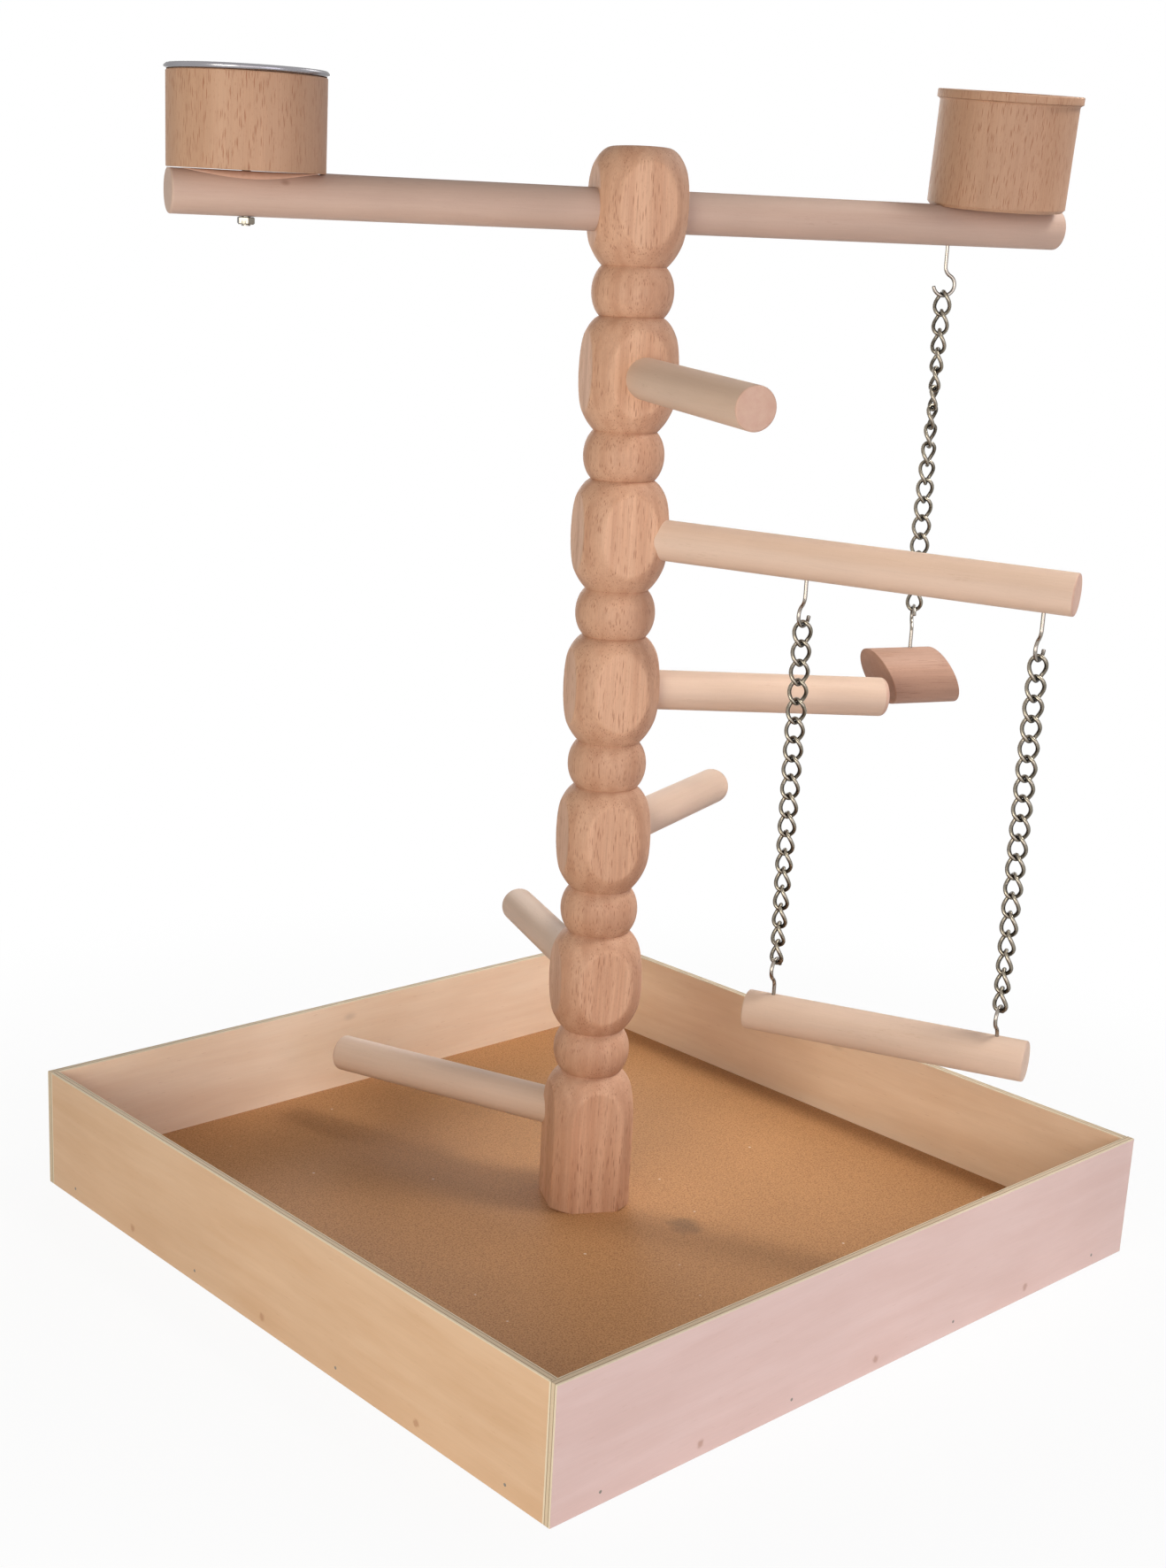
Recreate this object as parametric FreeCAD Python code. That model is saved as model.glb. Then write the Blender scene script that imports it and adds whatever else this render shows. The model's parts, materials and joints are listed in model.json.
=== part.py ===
"""Parrot play stand: tray, turned post, spiral perches, two cups, chain swing and hanging chew block.

Millimetres, +Z up. The origin is on the surface the stand rests on, under the middle of the tray.
+X runs along the tray's front wall. Azimuths are degrees from +X, anticlockwise seen from above.
"""
import math
import os

import FreeCAD
import Part

from FreeCAD import Vector

# ---- Tray ------------------------------------------------------------------------------------
TRAY_LENGTH = 413.0          # along X, over the front and back walls
TRAY_WIDTH = 410.0           # along Y, over all
WALL_HEIGHT = 65.0
WALL_THICKNESS = 4.5
WALL_EDGE_EASE = 0.6         # sanded arris along the top edges
BOARD_THICKNESS = 12.0

NAIL_RADIUS = 0.8
NAIL_LENGTH = 20.0
NAIL_END_MARGIN = 28.0       # first nail from each end of a wall
NAILS_PER_WALL = 4

# ---- Post ------------------------------------------------------------------------------------
BEAD_RADIUS = 24.8           # turned corners of the big beads and of the base
STOCK_ACROSS_FLATS = 45.0    # square stock, whose faces stay as flat ovals on the beads
STOCK_OVER_LENGTH = 1.0      # the blank is this much longer than the turned post
POST_AZIMUTH = -21.0         # the direction one flat faces
POST_X = 1.4                 # the post stands this far from the tray's middle
POST_Y = -1.4
NECK_RADIUS = 15.7
SMALL_BEAD_RADIUS = 20.0
BEAD_PITCH = 77.4
BIG_BEAD_HEIGHT = 54.0       # neck to neck
BASE_BEAD_Z = 59.1           # widest point of the base's shoulder
BEAD_COUNT = 6               # big beads above the base
POST_CROWN_RADIUS = 14.3     # flat top of the highest bead
SHOULDER_CORE = 13.0         # radius where a big bead's upper oval arc starts
FOOT_CORE = 5.0              # the same for its fuller lower half
SMALL_BEAD_CORE = 10.0

# ---- Dowels ----------------------------------------------------------------------------------
DOWEL_RADIUS = 10.0
SOCKET_INNER_END = 5.0       # a perch stops this far from the post's axis
BAR_AZIMUTH = -20.5
BAR_RISE = 0.8               # degrees, the right end is the higher one
BAR_DROP = 1.5               # bar axis below the top bead's middle
BAR_LEFT = 224.5
BAR_RIGHT = 236.5
BAR_END_EASE = 1.0

PERCH_2_REACH = 137.0        # from the post's axis to each perch's end
PERCH_3_REACH = 225.0
PERCH_4_REACH = 146.0
PERCH_5_REACH = 157.0
PERCH_6_REACH = 138.0
PERCH_7_REACH = 165.0
SAWN_END_EASE = 1.0
ROUNDED_END_EASE = 3.0
PERCH_7_END_EASE = 2.0

# name: bead counted from the top, azimuth, rise in degrees, reach, end rounding
PERCHES = {
    "perch_2": (1, 249.5, -3.2, PERCH_2_REACH, SAWN_END_EASE),
    "perch_3": (2, -66.5, -2.0, PERCH_3_REACH, SAWN_END_EASE),
    "perch_4": (3, -31.0, -1.4, PERCH_4_REACH, ROUNDED_END_EASE),
    "perch_5": (4, 22.0, -1.4, PERCH_5_REACH, ROUNDED_END_EASE),
    "perch_6": (5, 66.0, -0.4, PERCH_6_REACH, ROUNDED_END_EASE),
    "perch_7": (6, 106.0, -1.5, PERCH_7_REACH, PERCH_7_END_EASE),
}

# ---- Countersunk screw up through the board into the post -------------------------------------
POST_SCREW_RADIUS = 3.0
POST_SCREW_LENGTH = 65.0     # over all, its head flush with the board's underside
POST_SCREW_HEAD_RADIUS = 6.0

# ---- Cups ------------------------------------------------------------------------------------
CUP_SEAT_HEIGHT = 9.2        # cup floor above the bar's axis, so the bar is planed flat there
CUP_LEAN_AZIMUTH = -122.0    # both cups lean the same way on the rolled bar

WATER_CUP_REACH = 189.5
WATER_CUP_LEAN = 2.9
WATER_CUP_RADIUS = 35.2
WATER_CUP_WALL = 3.7
WATER_CUP_FLOOR = 6.0
CUP_EDGE_EASE = 0.8

BOWL_RIM_RADIUS = 36.2       # over the rolled rim
BOWL_RIM_ROLL = 1.25
BOWL_WALL = 0.7
BOWL_RECESS_GAP = 0.7
BOWL_DEPTH = 30.5
BOWL_TAPER = 2.5             # the bowl's foot is this much narrower than its mouth
BOWL_CORNER = 8.0
BOWL_SEAT_GAP = 0.05
BOWL_OVER_BOLT = 1.7         # the bowl's foot hangs this far above the bolt's head

CUP_BOLT_RADIUS = 2.0
CUP_BOLT_HEAD_RADIUS = 4.0
CUP_BOLT_HEAD_HEIGHT = 2.2
NUT_ACROSS_FLATS = 7.0
NUT_HEIGHT = 3.2
BOLT_PAST_NUT = 0.6
NUT_SEAT_GAP = 0.1
CUP_HOLE_PROUD = 1.0         # the drill passes this far beyond the bar

SEED_CUP_REACH = 198.5
SEED_CUP_LEAN = 6.5
SEED_CUP_RADIUS = 34.5
SEED_CUP_HEIGHT = 55.2
SEED_CUP_LIP_RADIUS = 36.1
SEED_CUP_LIP_HEIGHT = 4.0
SEED_CUP_COVE = 1.4
SEED_CUP_WALL = 4.0
SEED_CUP_FLOOR = 9.0
SEED_CUP_INNER_CORNER = 6.0
SEED_CUP_FOOT_CHAMFER = 1.6

SEED_SCREW_RADIUS = 2.0
SEED_SCREW_HEAD_RADIUS = 4.2
SEED_SCREW_SUNK = 2.0        # head below the bar's underside
SEED_SCREW_BITE = 6.5        # into the cup's floor

# ---- Screw hooks and chain -------------------------------------------------------------------
HOOK_WIRE_RADIUS = 0.95
HOOK_CROOK_RADIUS = 5.4      # to the middle of the wire
HOOK_BEND_HEIGHT = 9.0       # the S bend between stem and crook
HOOK_REACH = 33.5            # crook to the end of the thread
HOOK_TIP_TURN = 12.0         # degrees the crook goes on past its half circle
HOOK_HOLE_PROUD = 0.5        # the drill starts this far outside the wood's surface

LINK_WIRE_RADIUS = 1.0
LINK_HALF_LENGTH = 5.8       # middle of the link to the middle of the wire at an end
LINK_HALF_WIDTH = 4.1
LINK_TWIST = 90.0            # degrees between a link's two ends
LINK_SPANS = 4               # arcs pairs in half a link
LINK_PLAY = 0.12             # free gap where two wires cross

# ---- Swing -----------------------------------------------------------------------------------
SWING_INNER_REACH = 97.8     # hook position along perch 3
SWING_END_MARGIN = 14.2      # from the outer hook to perch 3's end
SWING_HOOK_DROP = 22.0       # perch surface to the middle of the crook's wire
SWING_HOOK_AZIMUTH = 193.5   # the side that the upper hooks' stems bend towards
SWING_LINKS = 18
SWING_CHAIN_TURN = -5.0      # degrees each link turns on from the one above
SWING_PERCH_HOOK_DROP = 19.0
SWING_PERCH_OVERHANG_INNER = 13.5
SWING_PERCH_OVERHANG_OUTER = 15.0
SWING_PERCH_EASE = 1.0

# ---- Hanging chew block -----------------------------------------------------------------------
TOY_REACH = 173.0            # hook position along the bar
TOY_HOOK_DROP = 24.5
TOY_HOOK_AZIMUTH = -37.0
TOY_LINKS = 17
TOY_CHAIN_TURN = -11.8
BLOCK_RADIUS = 15.0
BLOCK_LENGTH = 40.0
BLOCK_SLANT = 27.5           # degrees both ends are cut off square
BLOCK_AZIMUTH = -27.0
BLOCK_HOOK_DROP = 22.3
BLOCK_HOOK_OFFSET = -1.5     # hook from the block's middle, along it

# ---- Worked out --------------------------------------------------------------------------------
TOP_BEAD_Z = BASE_BEAD_Z + BEAD_COUNT * BEAD_PITCH
SWING_SPACING = PERCH_3_REACH - SWING_INNER_REACH - SWING_END_MARGIN
WATER_CUP_HEIGHT = WATER_CUP_FLOOR + CUP_BOLT_HEAD_HEIGHT + BOWL_OVER_BOLT + BOWL_DEPTH
NECK_TO_NECK_SMALL = BEAD_PITCH - BIG_BEAD_HEIGHT
POST_TOP_Z = TOP_BEAD_Z + BIG_BEAD_HEIGHT / 2.0
LINK_PITCH = 2.0 * LINK_HALF_LENGTH - 2.0 * LINK_WIRE_RADIUS - LINK_PLAY
HOOK_TO_LINK = HOOK_WIRE_RADIUS + LINK_WIRE_RADIUS + LINK_PLAY
UP = Vector(0, 0, 1)
FOOT = Vector(POST_X, POST_Y, 0)


# ---- Helpers -----------------------------------------------------------------------------------
def heading(azimuth, rise=0.0):
    """Unit vector at an azimuth and a rise above the horizontal, both in degrees."""
    a = math.radians(azimuth)
    r = math.radians(rise)
    return Vector(math.cos(a) * math.cos(r), math.sin(a) * math.cos(r), math.sin(r))


def frame_at(origin, z_axis, x_hint):
    """Placement that carries local Z to z_axis and local X as near as it can to x_hint."""
    z = Vector(z_axis).normalize()
    x = (x_hint - z * x_hint.dot(z)).normalize()
    y = z.cross(x)
    m = FreeCAD.Matrix(x.x, y.x, z.x, origin.x,
                       x.y, y.y, z.y, origin.y,
                       x.z, y.z, z.z, origin.z,
                       0, 0, 0, 1)
    return FreeCAD.Placement(m)


def placed(shape, placement):
    """A copy of a shape at a placement."""
    out = shape.copy()
    out.transformShape(placement.Matrix, False)
    return out


def rod(start, direction, length, radius):
    """Plain cylinder."""
    return Part.makeCylinder(radius, length, start, direction)


def eased_rod(start, direction, length, radius, start_ease, end_ease):
    """Cylinder whose end edges are rounded; a radius of nought leaves that edge sharp."""
    solid = Part.makeCylinder(radius, length)
    ends = ((0.0, start_ease), (length, end_ease))
    for z, ease in ends:
        if ease > 0.0:
            edges = [e for e in solid.Edges
                     if isinstance(e.Curve, Part.Circle) and abs(e.Curve.Center.z - z) < 1e-6]
            solid = solid.makeFillet(ease, edges)
    side = UP if abs(direction.z) < 0.9 else Vector(1, 0, 0)
    return placed(solid, frame_at(start, direction, side))


def bead_half(core, radius, end_radius, centre_z, height):
    """Quarter-oval edge of a bead, from its widest point up (or down, height below nought) to its neck.

    The oval's middle stands at radius core, so a larger core makes a fuller shoulder.
    """
    reach = math.sqrt(1.0 - ((end_radius - core) / (radius - core)) ** 2)
    tall = height / reach
    oval = Part.Ellipse(point(core, centre_z + tall), point(radius, centre_z), point(core, centre_z))
    widest = oval.parameter(point(radius, centre_z))
    neck = oval.parameter(point(end_radius, centre_z + height))
    return Part.ArcOfEllipse(oval, min(widest, neck), max(widest, neck)).toShape()


def revolved(edges):
    """Solid of revolution about Z from a closed outline in the XZ plane."""
    face = Part.Face(Part.Wire(Part.__sortEdges__(edges)))
    return face.revolve(Vector(0, 0, 0), UP, 360.0)


def polyline(points):
    """Straight edges through a list of points."""
    return [Part.makeLine(a, b) for a, b in zip(points[:-1], points[1:])]


def point(radius, z):
    """A point of an outline in the XZ plane."""
    return Vector(radius, 0, z)


# ---- Post ------------------------------------------------------------------------------------
def bead_z(index):
    """Height of a big bead's middle, counted down from the top one at nought."""
    return TOP_BEAD_Z - index * BEAD_PITCH


def post_outline():
    """Closed outline of the turned post, from its foot up to its crown."""
    half = BIG_BEAD_HEIGHT / 2.0
    small = NECK_TO_NECK_SMALL / 2.0
    base_z = bead_z(BEAD_COUNT)
    edges = polyline([point(0, BOARD_THICKNESS), point(BEAD_RADIUS, BOARD_THICKNESS),
                      point(BEAD_RADIUS, base_z)])
    edges.append(bead_half(SHOULDER_CORE, BEAD_RADIUS, NECK_RADIUS, base_z, half))
    for index in range(BEAD_COUNT - 1, -1, -1):
        centre = bead_z(index)
        small_z = centre - half - small
        crown = POST_CROWN_RADIUS if index == 0 else NECK_RADIUS
        edges.append(bead_half(SMALL_BEAD_CORE, SMALL_BEAD_RADIUS, NECK_RADIUS, small_z, -small))
        edges.append(bead_half(SMALL_BEAD_CORE, SMALL_BEAD_RADIUS, NECK_RADIUS, small_z, small))
        edges.append(bead_half(FOOT_CORE, BEAD_RADIUS, NECK_RADIUS, centre, -half))
        edges.append(bead_half(SHOULDER_CORE, BEAD_RADIUS, crown, centre, half))
    edges += polyline([point(POST_CROWN_RADIUS, POST_TOP_Z), point(0, POST_TOP_Z),
                       point(0, BOARD_THICKNESS)])
    return edges


def square_stock():
    """The square blank that the post was turned from."""
    across = STOCK_ACROSS_FLATS
    blank = Part.makeBox(across, across, POST_TOP_Z + STOCK_OVER_LENGTH, Vector(-across / 2.0, -across / 2.0, 0))
    blank.rotate(Vector(0, 0, 0), UP, POST_AZIMUTH)
    return blank


def bar_placement(reach, height=0.0):
    """A point along the top bar, and its direction away from the post's left side."""
    along = heading(BAR_AZIMUTH, BAR_RISE)
    middle = FOOT + UP * (TOP_BEAD_Z - BAR_DROP)
    return middle + along * reach + UP * height, along


def perch_axis(name):
    """Where a perch's axis meets the post's, and its direction outward."""
    index, azimuth, rise, reach, ease = PERCHES[name]
    return FOOT + UP * bead_z(index), heading(azimuth, rise)


def perch_solid(name):
    """One perch dowel, from inside its socket to its rounded outer end."""
    start, along = perch_axis(name)
    index, azimuth, rise, reach, ease = PERCHES[name]
    return eased_rod(start + along * SOCKET_INNER_END, along, reach - SOCKET_INNER_END,
                     DOWEL_RADIUS, 0.0, ease)


def post():
    """Turned post with its sockets, the bar's hole and the fixing screw's hole."""
    solid = revolved(post_outline()).common(square_stock())
    solid.translate(FOOT)
    for name in PERCHES:
        start, along = perch_axis(name)
        solid = solid.cut(rod(start + along * SOCKET_INNER_END, along, 2.0 * BEAD_RADIUS, DOWEL_RADIUS))
    through, along = bar_placement(-2.0 * BEAD_RADIUS)
    solid = solid.cut(rod(through, along, 4.0 * BEAD_RADIUS, DOWEL_RADIUS))
    return solid.cut(post_screw())


# ---- Tray ------------------------------------------------------------------------------------
def wall(length, at, along_x):
    """One strip of the tray's side, with its top arrises sanded."""
    size = (length, WALL_THICKNESS) if along_x else (WALL_THICKNESS, length)
    strip = Part.makeBox(size[0], size[1], WALL_HEIGHT, at)
    tops = [e for e in strip.Edges
            if abs(e.BoundBox.ZMin - WALL_HEIGHT) < 1e-6 and e.Length > 2.0 * WALL_THICKNESS]
    return strip.makeFillet(WALL_EDGE_EASE, tops)


def nails(axis):
    """The brads through one wall or its opposite: axis 'x' for the left and right walls."""
    out = []
    span = TRAY_WIDTH if axis == "x" else TRAY_LENGTH
    outer = (TRAY_LENGTH if axis == "x" else TRAY_WIDTH) / 2.0
    first = -span / 2.0 + NAIL_END_MARGIN
    step = (span - 2.0 * NAIL_END_MARGIN) / (NAILS_PER_WALL - 1)
    for side in (-1, 1):
        for k in range(NAILS_PER_WALL):
            along = first + k * step
            z = BOARD_THICKNESS / 2.0
            if axis == "x":
                start, inward = Vector(side * outer, along, z), Vector(-side, 0, 0)
            else:
                start, inward = Vector(along, side * outer, z), Vector(0, -side, 0)
            out.append(rod(start, inward, NAIL_LENGTH, NAIL_RADIUS))
    return out


def tray_parts():
    """Walls, floor board and nails."""
    half_x = TRAY_LENGTH / 2.0
    half_y = TRAY_WIDTH / 2.0
    inner_y = half_y - WALL_THICKNESS
    inner_x = half_x - WALL_THICKNESS
    all_nails = nails("x") + nails("y")
    parts = {
        "tray_wall_front": wall(TRAY_LENGTH, Vector(-half_x, -half_y, 0), True),
        "tray_wall_back": wall(TRAY_LENGTH, Vector(-half_x, inner_y, 0), True),
        "tray_wall_left": wall(2.0 * inner_y, Vector(-half_x, -inner_y, 0), False),
        "tray_wall_right": wall(2.0 * inner_y, Vector(inner_x, -inner_y, 0), False),
        "tray_board": board(inner_x, inner_y),
    }
    drill = Part.makeCompound(all_nails)
    for name in parts:
        parts[name] = parts[name].cut(drill)
    parts["wall_nails"] = drill
    return parts


def board(inner_x, inner_y):
    """The tray's floor, drilled and countersunk from below for the post's screw."""
    floor = Part.makeBox(2.0 * inner_x, 2.0 * inner_y, BOARD_THICKNESS, Vector(-inner_x, -inner_y, 0))
    return floor.cut(post_screw())


def post_screw():
    """Countersunk screw up through the board into the post's foot."""
    cone = POST_SCREW_HEAD_RADIUS - POST_SCREW_RADIUS
    head = Part.makeCone(POST_SCREW_HEAD_RADIUS, POST_SCREW_RADIUS, cone, FOOT)
    return head.fuse(rod(FOOT + UP * cone, UP, POST_SCREW_LENGTH - cone, POST_SCREW_RADIUS))


# ---- Cups ------------------------------------------------------------------------------------
def cup_frame(reach, lean):
    """Placement of a cup: local origin at the middle of its floor's underside, local Z up its axis."""
    at, along = bar_placement(reach)
    lean_way = heading(CUP_LEAN_AZIMUTH)
    up = UP * math.cos(math.radians(lean)) + lean_way * math.sin(math.radians(lean))
    return frame_at(at + up * CUP_SEAT_HEIGHT, up, along)


def water_cup_frame():
    return cup_frame(-WATER_CUP_REACH, WATER_CUP_LEAN)


def seed_cup_frame():
    return cup_frame(SEED_CUP_REACH, SEED_CUP_LEAN)


def seat_cutter(placement):
    """Everything above a cup's seat, as far as the cup reaches: it planes the bar flat."""
    radius = max(WATER_CUP_RADIUS, SEED_CUP_RADIUS)
    return placed(Part.makeCylinder(radius, DOWEL_RADIUS), placement)


def water_cup():
    """Straight wooden cup, bored for the steel bowl."""
    body = Part.makeCylinder(WATER_CUP_RADIUS, WATER_CUP_HEIGHT)
    body = body.makeFillet(CUP_EDGE_EASE, [e for e in body.Edges if isinstance(e.Curve, Part.Circle)])
    bore = Part.makeCylinder(WATER_CUP_RADIUS - WATER_CUP_WALL, WATER_CUP_HEIGHT,
                             Vector(0, 0, WATER_CUP_FLOOR))
    body = body.cut(bore).cut(Part.makeCylinder(CUP_BOLT_RADIUS, WATER_CUP_FLOOR))
    return placed(body, water_cup_frame())


def water_bowl():
    """Steel liner with a rolled rim that rests on the wooden cup's top."""
    mouth = WATER_CUP_RADIUS - WATER_CUP_WALL - BOWL_RECESS_GAP
    foot = mouth - BOWL_TAPER
    rim_middle = BOWL_RIM_RADIUS - BOWL_RIM_ROLL
    top = 2.0 * BOWL_RIM_ROLL
    k = math.sqrt(0.5)
    corner = point(foot - BOWL_CORNER * (1.0 - k), -BOWL_DEPTH + BOWL_CORNER * (1.0 - k))
    inner_corner = BOWL_CORNER - BOWL_WALL
    inner = point(foot - BOWL_WALL - inner_corner * (1.0 - k), -BOWL_DEPTH + BOWL_WALL + inner_corner * (1.0 - k))
    edges = [
        Part.Arc(point(rim_middle, 0), point(BOWL_RIM_RADIUS, BOWL_RIM_ROLL), point(rim_middle, top)).toShape(),
        Part.makeLine(point(rim_middle, top), point(mouth, top)),
        Part.makeLine(point(mouth, top), point(mouth - BOWL_WALL, top - BOWL_WALL)),
        Part.makeLine(point(mouth - BOWL_WALL, top - BOWL_WALL),
                      point(foot - BOWL_WALL, -BOWL_DEPTH + BOWL_CORNER)),
        Part.Arc(point(foot - BOWL_WALL, -BOWL_DEPTH + BOWL_CORNER), inner,
                 point(foot - BOWL_CORNER, -BOWL_DEPTH + BOWL_WALL)).toShape(),
        Part.makeLine(point(foot - BOWL_CORNER, -BOWL_DEPTH + BOWL_WALL), point(0, -BOWL_DEPTH + BOWL_WALL)),
        Part.makeLine(point(0, -BOWL_DEPTH + BOWL_WALL), point(0, -BOWL_DEPTH)),
        Part.makeLine(point(0, -BOWL_DEPTH), point(foot - BOWL_CORNER, -BOWL_DEPTH)),
        Part.Arc(point(foot - BOWL_CORNER, -BOWL_DEPTH), corner, point(foot, -BOWL_DEPTH + BOWL_CORNER)).toShape(),
        Part.makeLine(point(foot, -BOWL_DEPTH + BOWL_CORNER), point(mouth, 0)),
        Part.makeLine(point(mouth, 0), point(rim_middle, 0)),
    ]
    bowl = revolved(edges)
    bowl.translate(UP * (WATER_CUP_HEIGHT + BOWL_SEAT_GAP))
    return placed(bowl, water_cup_frame())


def under_bar():
    """Depth of the bar's underside below a cup's seat, along the cup's axis."""
    return CUP_SEAT_HEIGHT + DOWEL_RADIUS


def water_cup_bolt():
    """Pan-head bolt down through cup and bar."""
    length = WATER_CUP_FLOOR + under_bar() + NUT_SEAT_GAP + NUT_HEIGHT + BOLT_PAST_NUT
    shank = Part.makeCylinder(CUP_BOLT_RADIUS, length, Vector(0, 0, WATER_CUP_FLOOR), -UP)
    head = Part.makeCylinder(CUP_BOLT_HEAD_RADIUS, CUP_BOLT_HEAD_HEIGHT, Vector(0, 0, WATER_CUP_FLOOR))
    return placed(shank.fuse(head), water_cup_frame())


def water_cup_nut():
    """Hexagon nut under the bar."""
    corner = NUT_ACROSS_FLATS / math.sqrt(3.0)
    corners = [Vector(corner * math.cos(math.radians(60 * k)), corner * math.sin(math.radians(60 * k)), 0)
               for k in range(7)]
    nut = Part.Face(Part.makePolygon(corners)).extrude(-UP * NUT_HEIGHT)
    nut = nut.cut(Part.makeCylinder(CUP_BOLT_RADIUS, NUT_HEIGHT, Vector(0, 0, 0), -UP))
    nut.translate(-UP * (under_bar() + NUT_SEAT_GAP))
    return placed(nut, water_cup_frame())


def seed_cup():
    """Turned wooden cup with a proud lip."""
    lip_foot = SEED_CUP_HEIGHT - SEED_CUP_LIP_HEIGHT
    inside = SEED_CUP_RADIUS - SEED_CUP_WALL
    k = math.sqrt(0.5)
    cove = SEED_CUP_COVE
    edges = polyline([point(0, 0), point(SEED_CUP_RADIUS - SEED_CUP_FOOT_CHAMFER, 0),
                      point(SEED_CUP_RADIUS, SEED_CUP_FOOT_CHAMFER), point(SEED_CUP_RADIUS, lip_foot - cove)])
    lip_inner = point(SEED_CUP_RADIUS + cove, lip_foot)
    edges.append(Part.Arc(point(SEED_CUP_RADIUS, lip_foot - cove),
                          point(SEED_CUP_RADIUS + cove * (1.0 - k), lip_foot - cove * (1.0 - k)),
                          lip_inner).toShape())
    edges += polyline([lip_inner, point(SEED_CUP_LIP_RADIUS, lip_foot),
                       point(SEED_CUP_LIP_RADIUS, SEED_CUP_HEIGHT), point(inside, SEED_CUP_HEIGHT),
                       point(inside, SEED_CUP_FLOOR + SEED_CUP_INNER_CORNER)])
    round_in = SEED_CUP_INNER_CORNER
    edges.append(Part.Arc(point(inside, SEED_CUP_FLOOR + round_in),
                          point(inside - round_in * (1.0 - k), SEED_CUP_FLOOR + round_in * (1.0 - k)),
                          point(inside - round_in, SEED_CUP_FLOOR)).toShape())
    edges += polyline([point(inside - round_in, SEED_CUP_FLOOR), point(0, SEED_CUP_FLOOR), point(0, 0)])
    cup = placed(revolved(edges), seed_cup_frame())
    return cup.cut(seed_cup_screw())


def seed_cup_screw():
    """Countersunk screw up through the bar into the seed cup's floor."""
    head_z = -under_bar() + SEED_SCREW_SUNK
    cone = SEED_SCREW_HEAD_RADIUS - SEED_SCREW_RADIUS
    head = Part.makeCone(SEED_SCREW_HEAD_RADIUS, SEED_SCREW_RADIUS, cone, Vector(0, 0, head_z))
    shank = Part.makeCylinder(SEED_SCREW_RADIUS, SEED_SCREW_BITE - head_z - cone, Vector(0, 0, head_z + cone))
    return placed(head.fuse(shank), seed_cup_frame())


def countersink():
    """The flared hole under the bar that the screw's head sits in."""
    head_z = -under_bar() + SEED_SCREW_SUNK
    mouth = 2.0 * SEED_SCREW_SUNK
    flare = Part.makeCone(SEED_SCREW_HEAD_RADIUS + mouth / 2.0, SEED_SCREW_HEAD_RADIUS, mouth,
                          Vector(0, 0, head_z - mouth))
    return placed(flare, seed_cup_frame()).fuse(seed_cup_screw())


def top_bar():
    """Through bar with a planed seat under each cup and its fixing holes."""
    start, along = bar_placement(-BAR_LEFT)
    bar = eased_rod(start, along, BAR_LEFT + BAR_RIGHT, DOWEL_RADIUS, BAR_END_EASE, BAR_END_EASE)
    for placement in (water_cup_frame(), seed_cup_frame()):
        bar = bar.cut(seat_cutter(placement))
    bolt_hole = Part.makeCylinder(CUP_BOLT_RADIUS, under_bar() + 2.0 * CUP_HOLE_PROUD,
                                  UP * CUP_HOLE_PROUD, -UP)
    bar = bar.cut(placed(bolt_hole, water_cup_frame()))
    bar = bar.cut(countersink())
    return bar.cut(hook_hole_at(toy_hook_frame(), TOY_HOOK_DROP))


# ---- Screw hooks -----------------------------------------------------------------------------
def hook_hole(drop):
    """The hole for the threaded end inside the wood, in the hook's own frame."""
    length = HOOK_REACH - drop + HOOK_HOLE_PROUD
    return Part.makeCylinder(HOOK_WIRE_RADIUS, length, Vector(0, 0, -HOOK_HOLE_PROUD))


def hook_hole_at(placement, drop):
    return placed(hook_hole(drop), placement)


def screw_hook(drop):
    """Open screw hook: wood surface at the origin, crook hanging drop below it in the XZ plane."""
    crook_z = -(drop - HOOK_CROOK_RADIUS)
    bend_top = crook_z + HOOK_BEND_HEIGHT
    middle = Vector(HOOK_CROOK_RADIUS / 2.0, 0, (bend_top + crook_z) / 2.0)
    turn = 2.0 * math.atan2(HOOK_CROOK_RADIUS, HOOK_BEND_HEIGHT)
    bend_radius = HOOK_BEND_HEIGHT / (2.0 * math.sin(turn))
    upper = Vector(bend_radius * (1.0 - math.cos(turn / 2.0)), 0,
                   bend_top - bend_radius * math.sin(turn / 2.0))
    lower = Vector(HOOK_CROOK_RADIUS - upper.x, 0, bend_top + crook_z - upper.z)
    side = Vector(HOOK_CROOK_RADIUS, 0, crook_z)
    bottom = Vector(0, 0, crook_z - HOOK_CROOK_RADIUS)
    tip_angle = math.radians(180.0 - HOOK_TIP_TURN)
    tip = Vector(HOOK_CROOK_RADIUS * math.cos(tip_angle), 0, crook_z + HOOK_CROOK_RADIUS * math.sin(tip_angle))
    path = Part.Wire([
        Part.makeLine(Vector(0, 0, HOOK_REACH - drop), Vector(0, 0, bend_top)),
        Part.Arc(Vector(0, 0, bend_top), upper, middle).toShape(),
        Part.Arc(middle, lower, side).toShape(),
        Part.Arc(side, bottom, tip).toShape(),
    ])
    section = Part.Wire([Part.makeCircle(HOOK_WIRE_RADIUS, Vector(0, 0, HOOK_REACH - drop), UP)])
    return path.makePipeShell([section], True, False)


# ---- Chain -----------------------------------------------------------------------------------
def link_point(t):
    """Point of a twisted link's middle line, t from 0 at the top to pi at the bottom."""
    z = LINK_HALF_LENGTH * math.cos(t)
    w = LINK_HALF_WIDTH * math.sin(t)
    turn = math.radians(LINK_TWIST) * (LINK_HALF_LENGTH - z) / (2.0 * LINK_HALF_LENGTH)
    return Vector(w * math.cos(turn), w * math.sin(turn), z)


def link_tangent(t):
    """Unit tangent of that line."""
    step = 1e-4
    return (link_point(t + step) - link_point(t - step)).normalize()


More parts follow.
